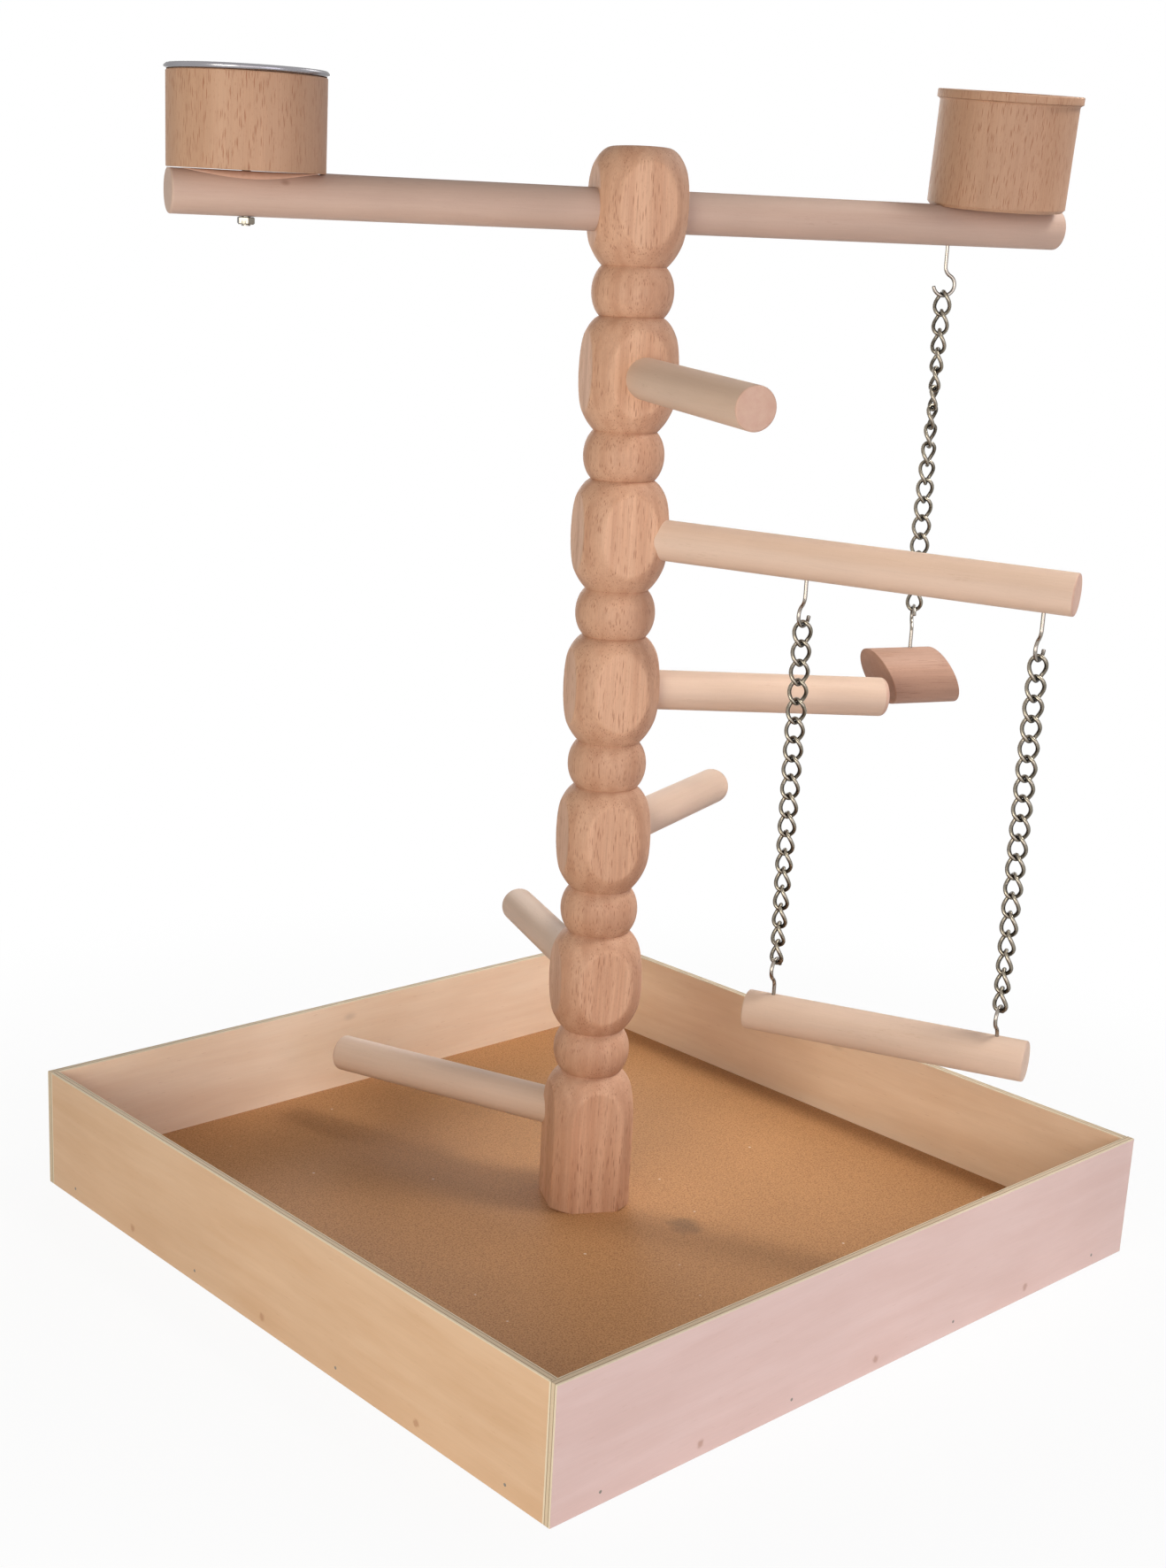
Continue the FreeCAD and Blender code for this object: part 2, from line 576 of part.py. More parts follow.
def biarc(p0, d0, p1, d1):
    """Two arcs that leave p0 along d0, meet tangentially and reach p1 along d1."""
    chord = p1 - p0
    both = d0 + d1
    a = 2.0 * (1.0 - d0.dot(d1))
    b = 2.0 * chord.dot(both)
    reach = (-b + math.sqrt(b * b + 4.0 * a * chord.dot(chord))) / (2.0 * a)
    joint = (p0 + p1 + (d0 - d1) * reach) * 0.5
    edges = []
    for start, way, end in ((p0, d0, joint), (joint, None, p1)):
        if way is None:
            way = edges[0].tangentAt(edges[0].LastParameter)
        span = end - start
        angle = way.getAngle(span)
        normal = way.cross(span).cross(way).normalize()
        radius = span.Length / (2.0 * math.sin(angle))
        centre = start + normal * radius
        mid_way = (start + end) * 0.5 - centre
        edges.append(Part.Arc(start, centre + mid_way.normalize() * radius, end).toShape())
    return edges


def twisted_link():
    """One link hanging along -Z: its top end lies along X, its bottom end turned by the twist."""
    edges = []
    for k in range(LINK_SPANS):
        t0 = math.pi * k / LINK_SPANS
        t1 = math.pi * (k + 1) / LINK_SPANS
        edges += biarc(link_point(t0), link_tangent(t0), link_point(t1), link_tangent(t1))
    path = Part.Wire(edges)
    section = Part.Wire([Part.makeCircle(LINK_WIRE_RADIUS, link_point(0.0), link_tangent(0.0))])
    half = path.makePipeShell([section], True, False)
    other = half.copy()
    other.rotate(Vector(0, 0, 0), UP, 180.0)
    return half.fuse(other).removeSplitter()


def chain_links(top, azimuth, first, last, turn):
    """Links first to last of a chain whose link nought has its top end at top, lying at an azimuth."""
    link = twisted_link()
    out = []
    for k in range(first, last + 1):
        copy = link.copy()
        copy.rotate(Vector(0, 0, 0), UP, azimuth + turn * k)
        copy.translate(top - UP * (LINK_HALF_LENGTH + k * LINK_PITCH))
        out.append(copy)
    return out


def chain_drop(count):
    """Top end of the first link's wire to the bottom end of the last one's."""
    return 2.0 * LINK_HALF_LENGTH + (count - 1) * LINK_PITCH


# ---- Swing -----------------------------------------------------------------------------------
def swing_hook_frames():
    """Where the two upper hooks enter perch 3, inner one first."""
    start, along = perch_axis("perch_3")
    frames = []
    for reach in (SWING_INNER_REACH, SWING_INNER_REACH + SWING_SPACING):
        under = DOWEL_RADIUS / math.cos(math.radians(PERCHES["perch_3"][2]))
        frames.append(frame_at(start + along * reach - UP * under, UP, heading(SWING_HOOK_AZIMUTH)))
    return frames


def swing_crooks():
    """Middle of the wire at the bottom of each upper crook."""
    return [frame.Base - UP * SWING_HOOK_DROP for frame in swing_hook_frames()]


def swing_lower_crooks():
    """Middle of the wire at the top of each lower crook, where the chains end."""
    drop = chain_drop(SWING_LINKS) - 2.0 * HOOK_TO_LINK
    return [crook - UP * drop for crook in swing_crooks()]


def swing_perch_top():
    """Height of the swing perch's upper side; the inner hook stands its full drop above it."""
    return swing_lower_crooks()[0].z - SWING_PERCH_HOOK_DROP


def swing_lower_azimuth():
    """The lower crooks stand square to the last link's bottom end."""
    return SWING_HOOK_AZIMUTH + LINK_TWIST + SWING_CHAIN_TURN * (SWING_LINKS - 1)


def swing_lower_hooks():
    """Both lower hooks as (placement, drop): the outer one is screwed in deeper to level the perch."""
    out = []
    for crook in swing_lower_crooks():
        at = Vector(crook.x, crook.y, swing_perch_top())
        out.append((frame_at(at, -UP, heading(swing_lower_azimuth())), crook.z - at.z))
    return out


def swing_perch():
    """The trapeze's dowel."""
    level = heading(PERCHES["perch_3"][1])
    inner, outer = swing_lower_crooks()
    axis_z = swing_perch_top() - DOWEL_RADIUS
    start = Vector(inner.x, inner.y, axis_z) - level * SWING_PERCH_OVERHANG_INNER
    end = Vector(outer.x, outer.y, axis_z) + level * SWING_PERCH_OVERHANG_OUTER
    dowel = eased_rod(start, level, (end - start).Length, DOWEL_RADIUS, SWING_PERCH_EASE, SWING_PERCH_EASE)
    for placement, drop in swing_lower_hooks():
        dowel = dowel.cut(hook_hole_at(placement, drop))
    return dowel


def swing_parts():
    """Hooks, chains and dowel of the swing."""
    parts = {}
    frames = swing_hook_frames()
    tops = [crook + UP * HOOK_TO_LINK for crook in swing_crooks()]
    link_azimuth = SWING_HOOK_AZIMUTH - 90.0
    top_links = []
    for side, frame, top, lower in zip(("inner", "outer"), frames, tops, swing_lower_hooks()):
        parts["swing_hook_" + side] = placed(screw_hook(SWING_HOOK_DROP), frame)
        top_links += chain_links(top, link_azimuth, 0, 0, SWING_CHAIN_TURN)
        parts["swing_chain_" + side] = Part.makeCompound(
            chain_links(top, link_azimuth, 1, SWING_LINKS - 1, SWING_CHAIN_TURN))
        placement, drop = lower
        parts["swing_perch_hook_" + side] = placed(screw_hook(drop), placement)
    parts["swing_top_links"] = Part.makeCompound(top_links)
    parts["swing_perch"] = swing_perch()
    return parts


def perches():
    """The six perch dowels; perch 3 is drilled for the swing's hooks."""
    parts = {name: perch_solid(name) for name in PERCHES}
    for frame in swing_hook_frames():
        parts["perch_3"] = parts["perch_3"].cut(hook_hole_at(frame, SWING_HOOK_DROP))
    return parts


# ---- Hanging chew block -----------------------------------------------------------------------
def toy_hook_frame():
    """Where the toy's hook enters the bar from below."""
    at, along = bar_placement(TOY_REACH)
    under = DOWEL_RADIUS / math.cos(math.radians(BAR_RISE))
    return frame_at(at - UP * under, UP, heading(TOY_HOOK_AZIMUTH))


def toy_crook():
    return toy_hook_frame().Base - UP * TOY_HOOK_DROP


def toy_lower_crook():
    return toy_crook() - UP * (chain_drop(TOY_LINKS) - 2.0 * HOOK_TO_LINK)


def block_hook():
    """Placement and drop of the hook in the block's top."""
    crook = toy_lower_crook()
    azimuth = TOY_HOOK_AZIMUTH + 90.0 + LINK_TWIST + TOY_CHAIN_TURN * (TOY_LINKS - 1) + 90.0
    at = crook - UP * BLOCK_HOOK_DROP
    return frame_at(at, -UP, heading(azimuth)), BLOCK_HOOK_DROP


def toy_block():
    """Short thick dowel, both ends cut parallel on the slant."""
    placement, drop = block_hook()
    along = heading(BLOCK_AZIMUTH)
    top = placement.Base
    middle = top - UP * BLOCK_RADIUS - along * BLOCK_HOOK_OFFSET
    slant = math.radians(BLOCK_SLANT)
    spare = BLOCK_RADIUS * math.tan(slant) + BLOCK_RADIUS
    length = BLOCK_LENGTH + 2.0 * spare
    blank = rod(middle - along * (length / 2.0), along, length, BLOCK_RADIUS)
    normal = along * math.cos(slant) + UP * math.sin(slant)
    side = UP.cross(along)
    for way in (-1.0, 1.0):
        at = middle + along * (way * BLOCK_LENGTH / 2.0)
        cutter = Part.makeBox(8.0 * BLOCK_RADIUS, 8.0 * BLOCK_RADIUS, 4.0 * spare,
                              Vector(-4.0 * BLOCK_RADIUS, -4.0 * BLOCK_RADIUS, 0))
        blank = blank.cut(placed(cutter, frame_at(at, normal * way, side)))
    return blank.cut(hook_hole_at(placement, drop))


def toy_parts():
    """Hook, chain and block under the right end of the bar."""
    top = toy_crook() + UP * HOOK_TO_LINK
    azimuth = TOY_HOOK_AZIMUTH + 90.0
    placement, drop = block_hook()
    return {
        "toy_hook": placed(screw_hook(TOY_HOOK_DROP), toy_hook_frame()),
        "toy_top_link": chain_links(top, azimuth, 0, 0, TOY_CHAIN_TURN)[0],
        "toy_chain": Part.makeCompound(chain_links(top, azimuth, 1, TOY_LINKS - 1, TOY_CHAIN_TURN)),
        "toy_block_hook": placed(screw_hook(drop), placement),
        "toy_block": toy_block(),
    }


# ---- Output ----------------------------------------------------------------------------------
def build():
    """All sub-parts by name."""
    parts = {
        "post": post(),
        "post_screw": post_screw(),
        "top_bar": top_bar(),
        "water_cup": water_cup(),
        "water_bowl": water_bowl(),
        "water_cup_bolt": water_cup_bolt(),
        "water_cup_nut": water_cup_nut(),
        "seed_cup": seed_cup(),
        "seed_cup_screw": seed_cup_screw(),
    }
    parts.update(tray_parts())
    parts.update(perches())
    parts.update(swing_parts())
    parts.update(toy_parts())
    return parts


def main():
    os.makedirs("parts", exist_ok=True)
    for name, shape in build().items():
        shape.exportStep(os.path.join("parts", name + ".step"))
        print(name, "solids", len(shape.Solids), "valid", shape.isValid(), "volume", round(shape.Volume, 1))


if __name__ == "__main__":
    main()
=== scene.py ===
"""Parrot play stand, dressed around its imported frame: turned post, dowels, cups, tray, swing and chew block.

Sizes are millimetres and angles degrees, with azimuths from +X as in the part's source. Meshes are
written in metres.
"""
from __future__ import annotations

import json
import logging
import math
from dataclasses import dataclass, field
from enum import Enum
from typing import Any, Callable, Sequence

import bpy
import numpy as np
from mathutils import Matrix

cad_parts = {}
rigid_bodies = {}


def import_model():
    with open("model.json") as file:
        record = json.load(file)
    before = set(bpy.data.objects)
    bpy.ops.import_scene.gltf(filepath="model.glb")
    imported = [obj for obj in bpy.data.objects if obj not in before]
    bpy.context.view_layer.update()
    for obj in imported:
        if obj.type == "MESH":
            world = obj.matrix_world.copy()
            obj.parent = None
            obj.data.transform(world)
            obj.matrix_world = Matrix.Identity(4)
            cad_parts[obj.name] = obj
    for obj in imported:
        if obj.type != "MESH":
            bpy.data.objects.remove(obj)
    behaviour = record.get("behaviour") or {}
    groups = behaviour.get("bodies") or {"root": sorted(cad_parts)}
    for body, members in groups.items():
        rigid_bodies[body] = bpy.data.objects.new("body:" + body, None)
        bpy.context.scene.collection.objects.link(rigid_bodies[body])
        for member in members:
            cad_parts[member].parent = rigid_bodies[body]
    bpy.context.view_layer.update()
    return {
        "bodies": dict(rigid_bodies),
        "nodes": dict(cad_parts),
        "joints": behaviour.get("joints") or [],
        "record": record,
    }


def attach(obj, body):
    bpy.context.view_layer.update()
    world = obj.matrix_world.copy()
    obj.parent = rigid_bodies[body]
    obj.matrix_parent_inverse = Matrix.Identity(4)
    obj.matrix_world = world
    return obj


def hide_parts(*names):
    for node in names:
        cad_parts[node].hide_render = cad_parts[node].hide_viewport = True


LOG = logging.getLogger("play_stand")
MM = 0.001
PER_METRE = 1000.0
Array = np.ndarray
Colour = tuple[float, float, float, float]
Point = tuple[float, float, float]
Scale = float | Point
UP = np.array([0.0, 0.0, 1.0])
WHITE = (1.0, 1.0, 1.0, 1.0)


# ---- Numbers ----
def paint(red: int, green: int, blue: int) -> Colour:
    """Linear colour of an 8-bit one: each channel's display curve undone."""
    channels = np.array([red, green, blue]) / 255.0
    linear = np.where(channels <= 0.04045, channels / 12.92, ((channels + 0.055) / 1.055) ** 2.4)
    return (float(linear[0]), float(linear[1]), float(linear[2]), 1.0)


def unit(vectors: Array) -> Array:
    """Vectors divided by their lengths, along the last axis."""
    return vectors / np.linalg.norm(vectors, axis=-1, keepdims=True)


def heading(azimuth: float, rise: float = 0.0) -> Array:
    """Unit vector at an azimuth and a rise above the level, both in degrees."""
    a, r = math.radians(azimuth), math.radians(rise)
    return np.array([math.cos(a) * math.cos(r), math.sin(a) * math.cos(r), math.sin(r)])


def softer(a: Array, b: Array, width: float) -> Array:
    """The smaller of two lengths, blended over a width: minus width times the log of summed exponentials."""
    low = np.minimum(a, b)
    return low - width * np.log(np.exp(-(a - low) / width) + np.exp(-(b - low) / width))


@dataclass(frozen=True)
class Frame:
    """Where a piece stands: an origin, and local X, Y and Z as the rows of axes."""

    origin: Array
    axes: Array

    @classmethod
    def at(cls, origin: Array, z_axis: Array, x_hint: Array) -> Frame:
        """A frame with local Z along z_axis and local X as near as it can be to x_hint.

        Args:
            origin: place of the frame's origin.
            z_axis: direction of local Z.
            x_hint: direction that local X leans towards.

        Returns:
            The frame.
        """
        z = unit(np.asarray(z_axis, float))
        x = unit(x_hint - z * np.dot(x_hint, z))
        return cls(np.asarray(origin, float), np.array([x, np.cross(z, x), z]))

    def place(self, local: Array) -> Array:
        """Points of the row frame for local points: origin plus each coordinate along its axis."""
        return self.origin + local @ self.axes


def rounded(corners: Sequence[tuple[float, float, float]], steps: int = 6) -> Array:
    """Outline through corners, each rounded by the arc that touches both its sides.

    Args:
        corners: (radius from the axis, height, rounding) of each corner in turn.
        steps: spans of each arc.

    Returns:
        Points (n, 2) of the outline.
    """
    points = np.array([[r, z] for r, z, _ in corners], float)
    out = [points[0]]
    for before, here, after, (_, _, rounding) in zip(points[:-2], points[1:-1], points[2:], corners[1:-1]):
        if rounding <= 0.0:
            out.append(here)
            continue
        back, on = unit(before - here), unit(after - here)
        half = 0.5 * math.acos(float(np.clip(np.dot(back, on), -1.0, 1.0)))
        reach = rounding / math.tan(half)
        centre = here + unit(back + on) * rounding / math.sin(half)
        start, end = here + back * reach - centre, here + on * reach - centre
        sweep = math.pi - 2.0 * half
        t = np.linspace(0.0, 1.0, steps + 1)[:, None]
        out.extend(centre + (np.sin((1.0 - t) * sweep) * start + np.sin(t * sweep) * end) / math.sin(sweep))
    out.append(points[-1])
    return np.array(out)


def rod_outline(radius: float, low: float, high: float, eases: tuple[float, float], steps: int) -> Array:
    """Outline of a rod between two places on its axis, with the edge of each end eased."""
    corners = [(0.0, low, 0.0), (radius, low, eases[0]), (radius, high, eases[1]), (0.0, high, 0.0)]
    return rounded(corners, steps)[1:-1]


def polar(radius: Array, angle: Array, height: Array) -> Array:
    """Points with a last axis of three, from radii and angles about Z and heights."""
    return np.stack([radius * np.cos(angle), radius * np.sin(angle), height + 0.0 * angle], axis=-1)


def whole_turn(count: int) -> Array:
    """Equal angles round a whole turn, in radians."""
    return np.linspace(0.0, 2.0 * math.pi, count, endpoint=False)


def lathe(outline: Array, around: int = 72) -> Array:
    """Rings (n, around, 3) of an outline turned about Z."""
    return polar(outline[:, :1], whole_turn(around), outline[:, 1:])


def arc(centre: Array, start: Array, normal: Array, sweep: float, steps: int) -> Array:
    """Points on a circle, in equal steps.

    Args:
        centre: the circle's middle.
        start: the first point.
        normal: direction about which the points turn.
        sweep: whole turn in degrees.
        steps: spans.

    Returns:
        Points (steps + 1, 3).
    """
    out = start - centre
    side = np.cross(normal, out)
    t = np.radians(np.linspace(0.0, sweep, steps + 1))[:, None]
    return centre + out * np.cos(t) + side * np.sin(t)


def circles(path: Array, first: Array, second: Array, size: Array | float, sides: int) -> Array:
    """Rings (n, sides, 3): at each point of a path, a circle in the plane of two directions there."""
    angle = whole_turn(sides)[:, None]
    return path[:, None] + size * (first[:, None] * np.cos(angle) + second[:, None] * np.sin(angle))


def tube(path: Array, radius: Array | float, across: Array, sides: int = 12) -> Array:
    """Rings of a round wire: at each point of a path, a circle square to the path.

    Args:
        path: points (n, 3).
        radius: wire radius, one or one per point.
        across: direction near one of the circle's axes, one or one per point.
        sides: points round the wire.

    Returns:
        Rings (n, sides, 3).
    """
    along = unit(np.gradient(path, axis=0))
    hint = np.broadcast_to(across, path.shape)
    first = unit(hint - along * np.sum(hint * along, axis=-1, keepdims=True))
    size = np.broadcast_to(np.asarray(radius, float), len(path))[:, None, None]
    return circles(path, first, np.cross(along, first), size, sides)


def add_object(name: str, data: Any, axes: Sequence[Array] | None = None, at: Any = (0.0, 0.0, 0.0)) -> Any:
    """Links an object to the scene.

    Args:
        name: the object's name.
        data: its mesh, lamp or camera.
        axes: directions of its X, Y and Z, the scene's own where left out.
        at: its place in millimetres.

    Returns:
        The object.
    """
    made = bpy.data.objects.new(name, data)
    bpy.context.scene.collection.objects.link(made)
    if axes is not None:
        matrix = np.eye(4)
        matrix[:3, :3] = np.stack(axes, axis=1)
        matrix[:3, 3] = np.asarray(at) * MM
        made.matrix_world = Matrix(matrix.tolist())
    return made


# ---- Meshes ----
class Ends(Enum):
    """How a skin of rings finishes."""

    CLOSED = "closed"
    LOOP = "loop"


@dataclass
class Skin:
    """Rings gathered into one mesh, with the grain's own coordinates carried on every point."""

    name: str
    points: list[Array] = field(default_factory=list)
    grains: list[Array] = field(default_factory=list)
    marks: list[Array] = field(default_factory=list)
    faces: list[Array] = field(default_factory=list)
    count: int = 0

    def wrap(self, rings: Array, grain: Array | None = None, mark: Array | None = None,
             ends: Ends = Ends.CLOSED, frame: Frame | None = None) -> Skin:
        """Adds a surface through rings: four-sided faces between neighbours, a fan to each end's middle.

        Args:
            rings: (n, m, 3), each ring anticlockwise about the way the rings go.
            grain: the pattern's coordinates, of the same shape; the rings' own where left out.
            mark: one number per point for the material, nought where left out.
            ends: whether the ends are closed or joined to each other.
            frame: where the rings stand.

        Returns:
            This skin.
        """
        n, m, _ = rings.shape
        spots = rings if frame is None else frame.place(rings)
        layers = (spots, rings if grain is None else grain, np.zeros((n, m)) if mark is None else mark)
        flat = [[layer.reshape(n * m, *layer.shape[2:])] for layer in layers]
        rows = np.arange(n if ends is Ends.LOOP else n - 1)[:, None]
        cols = np.arange(m)[None, :]
        right, below = (cols + 1) % m, (rows + 1) % n
        quads = [rows * m + cols, rows * m + right, below * m + right, below * m + cols]
        self.faces.append(np.stack(quads, axis=-1).reshape(-1, 4) + self.count)
        if ends is Ends.CLOSED:
            for number, row in enumerate((0, n - 1)):
                rim = row * m + np.arange(m)
                near = np.roll(rim, -1)
                pair = (rim, near) if number else (near, rim)
                self.faces.append(np.stack([np.full(m, n * m + number), *pair], axis=-1) + self.count)
                for made, layer in zip(flat, layers):
                    made.append(layer[row].mean(axis=0)[None])
        for kept, made in zip((self.points, self.grains, self.marks), flat):
            kept.append(np.concatenate(made))
        self.count += len(self.points[-1])
        return self

    def build(self, material: bpy.types.Material, body: str, *stands_for: str, crease: float = 40.0,
              slot: str | None = None, seed: Point = (0.0, 0.0, 0.0)) -> bpy.types.Object:
        """Writes the mesh and sets its piece riding.

        Args:
            material: the finish.
            body: the body that the piece moves with.
            stands_for: CAD nodes that the piece replaces.
            crease: edges that turn by more degrees than this are left sharp.
            slot: the record's material slot; not used.
            seed: shift of the pattern, so that no two pieces are alike.

        Returns:
            The piece.
        """
        points = np.concatenate(self.points) * MM
        grain = (np.concatenate(self.grains) + np.asarray(seed)) * MM
        corners = np.concatenate([f.ravel() for f in self.faces]).astype(np.int32)
        sizes = np.concatenate([np.full(len(f), f.shape[1]) for f in self.faces])
        starts = np.concatenate([[0], np.cumsum(sizes)[:-1]]).astype(np.int32)
        mesh = bpy.data.meshes.new(self.name)
        mesh.vertices.add(len(points))
        mesh.vertices.foreach_set("co", points.ravel())
        mesh.loops.add(len(corners))
        mesh.loops.foreach_set("vertex_index", corners)
        mesh.polygons.add(len(sizes))
        mesh.polygons.foreach_set("loop_start", starts)
        mesh.update(calc_edges=True)
        mesh.attributes.new("grain", "FLOAT_VECTOR", "POINT").data.foreach_set("vector", grain.ravel())
        mesh.attributes.new("mark", "FLOAT", "POINT").data.foreach_set("value", np.concatenate(self.marks))
        mesh.validate()
        mesh.shade_smooth()
        mesh.set_sharp_from_angle(angle=math.radians(crease))
        mesh.materials.append(material)
        piece = add_object(self.name, mesh)
        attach(piece, body)
        if stands_for:
            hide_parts(*stands_for)
        LOG.info("%s: %d faces, rides on %s", self.name, len(sizes), body)
        return piece


# ---- Shaders ----
def arithmetic(operation: str, reflected: bool = False) -> Callable[..., Signal]:
    """A method of Signal that adds one Math node.

    Args:
        operation: the node's operation.
        reflected: whether the other value comes first.

    Returns:
        The method.
    """
    def method(self: Signal, *others: Any) -> Signal:
        """One Math node on this signal and the others."""
        return self.maths(operation, *((*others, self) if reflected else (self, *others)))
    return method


class Signal:
    """A number or colour in a material, on which arithmetic is written as on a number."""

    def __init__(self, graph: Graph, socket: bpy.types.NodeSocket) -> None:
        """Wraps an output socket."""
        self.graph, self.socket = graph, socket

    def maths(self, operation: str, *values: Any) -> Signal:
        """One Math node on values in order."""
        return self.graph.node("Math", {"operation": operation}, dict(enumerate(values)))

    __add__ = __radd__ = arithmetic("ADD")
    __sub__, __rsub__ = arithmetic("SUBTRACT"), arithmetic("SUBTRACT", True)
    __mul__ = __rmul__ = arithmetic("MULTIPLY")
    __truediv__, __rtruediv__ = arithmetic("DIVIDE"), arithmetic("DIVIDE", True)
    __abs__ = arithmetic("ABSOLUTE")
    most = arithmetic("MAXIMUM")
    root = arithmetic("SQRT")
    floor = arithmetic("FLOOR")

    def step(self, low: float, high: float) -> Signal:
        """Nought below low, one above high, smooth between; falling where low is above high."""
        if low > high:
            return 1.0 - self.step(high, low)
        return self.graph.node("MapRange", {"interpolation_type": "SMOOTHSTEP"},
                               {"Value": self, "From Min": low, "From Max": high})


class Graph:
    """The nodes of one material or of the world."""

    def __init__(self, owner: bpy.types.Material | bpy.types.World) -> None:
        """Empties the owner's nodes.

        Args:
            owner: the material or world that they belong to.
        """
        self.owner = owner
        owner.use_nodes = True
        self.tree = owner.node_tree
        self.tree.nodes.clear()

    def node(self, kind: str, settings: dict[str, Any] | None = None, inputs: dict[Any, Any] | None = None,
             output: int | str = 0) -> Signal:
        """Adds one node.

        Args:
            kind: the node's type, after its ShaderNode.
            settings: properties, set first.
            inputs: values or signals by socket name or number.
            output: the output socket wanted.

        Returns:
            The signal of that output.
        """
        made = self.tree.nodes.new("ShaderNode" + kind)
        for key, value in (settings or {}).items():
            setattr(made, key, value)
        for key, value in (inputs or {}).items():
            if isinstance(value, Signal):
                self.tree.links.new(value.socket, made.inputs[key])
            else:
                made.inputs[key].default_value = value
        return Signal(self, made.outputs[output])

    def mix(self, factor: Signal | float, first: Any, second: Any) -> Signal:
        """Colour mixed from first to second by factor."""
        return self.node("Mix", {"data_type": "RGBA"}, {0: factor, 6: first, 7: second}, 2)

    def value(self, colour: Signal, factor: Signal) -> Signal:
        """A colour made lighter or darker by a factor."""
        return self.node("HueSaturation", {}, {"Value": factor, "Color": colour})

    def stretch(self, vector: Signal, scale: Scale) -> Signal:
        """A vector with its coordinates multiplied, all alike where the scale is one number."""
        factors = scale if isinstance(scale, tuple) else (scale, scale, scale)
        return self.node("VectorMath", {"operation": "MULTIPLY"}, {0: vector, 1: factors})

    def noise(self, vector: Signal, scale: Scale, detail: float = 2.0, roughness: float = 0.5,
              output: str = "Fac") -> Signal:
        """Smooth noise with one lump to each unit of the stretched vector."""
        return self.node("TexNoise", {}, {"Vector": self.stretch(vector, scale), "Scale": 1.0,
                                          "Detail": detail, "Roughness": roughness}, output)

    def cells(self, vector: Signal, scale: Scale = 1.0) -> Signal:
        """Distance to the nearest of scattered points, one to each unit cube of the stretched vector."""
        return self.node("TexVoronoi", {}, {"Vector": self.stretch(vector, scale), "Scale": 1.0}, "Distance")

    def warp(self, vector: Signal, scale: Scale, reach: Point) -> Signal:
        """A vector pushed about by coloured noise, up to half of reach each way."""
        push = self.node("VectorMath", {"operation": "SUBTRACT"},
                         {0: self.noise(vector, scale, 1.0, output="Color"), 1: (0.5, 0.5, 0.5)})
        return self.node("VectorMath", {"operation": "MULTIPLY_ADD"}, {0: push, 1: reach, 2: vector})

    def join(self, x: Any, y: Any, z: Any = 0.0) -> Signal:
        """A vector of three coordinates."""
        return self.node("CombineXYZ", {}, {0: x, 1: y, 2: z})

    def parts(self, vector: Signal) -> list[Signal]:
        """The three coordinates of a vector."""
        split = self.node("SeparateXYZ", {}, {0: vector}).socket.node
        return [Signal(self, output) for output in split.outputs]

    def mark(self) -> Signal:
        """The mark that a skin carries."""
        return self.node("Attribute", {"attribute_name": "mark"}, {}, "Fac")

    def grain(self) -> Signal:
        """The pattern's coordinates that a skin carries, in millimetres, with the grain along Z."""
        return self.stretch(self.node("Attribute", {"attribute_name": "grain"}, {}, "Vector"), PER_METRE)

    def own(self) -> Signal:
        """The object's own coordinates in millimetres."""
        return self.stretch(self.node("TexCoord", {}, {}, "Object"), PER_METRE)

    def facing(self) -> Signal:
        """Nought where a surface faces the eye, one at its outline."""
        return self.node("LayerWeight", {}, {"Blend": 0.5}, "Facing")

    def seen(self) -> Signal:
        """One for rays of the camera, of reflections and through clear pieces, nought for the others."""
        kinds = ("Camera", "Glossy", "Transmission")
        camera, glossy, clear = (self.node("LightPath", {}, {}, "Is %s Ray" % kind) for kind in kinds)
        return camera.most(glossy).most(clear)

    def finish(self, colour: Any, roughness: Any, height: Signal, depth: float, **fixed: Any) -> Any:
        """Closes a material with its shader.

        Args:
            colour: base colour.
            roughness: roughness.
            height: relief from nought to one.
            depth: what one stands for, in millimetres.
            fixed: other sockets of the shader, with underscores for spaces.

        Returns:
            The material.
        """
        bump = self.node("Bump", {}, {"Strength": 1.0, "Distance": depth * MM, "Height": height})
        sockets = {"Base Color": colour, "Roughness": roughness, "Normal": bump}
        sockets.update({key.replace("_", " "): value for key, value in fixed.items()})
        return self.close(self.node("BsdfPrincipled", {}, sockets))

    def close(self, shader: Signal) -> Any:
        """Links a shader to the output.

        Args:
            shader: the shader's signal.

        Returns:
            The material or world.
        """
        kind = "World" if isinstance(self.owner, bpy.types.World) else "Material"
        out = self.tree.nodes.new("ShaderNodeOutput" + kind)
        self.tree.links.new(shader.socket, out.inputs["Surface"])
        return self.owner


# ---- Finishes ----
class Along(Enum):
    """Which way a wall runs."""

    X = "x"
    Y = "y"


@dataclass(frozen=True)
class Finish:
    """A finish with a name."""

    name: str

    def graph(self) -> Graph:
        """The empty nodes of the finish's material."""
        return Graph(bpy.data.materials.new(self.name))


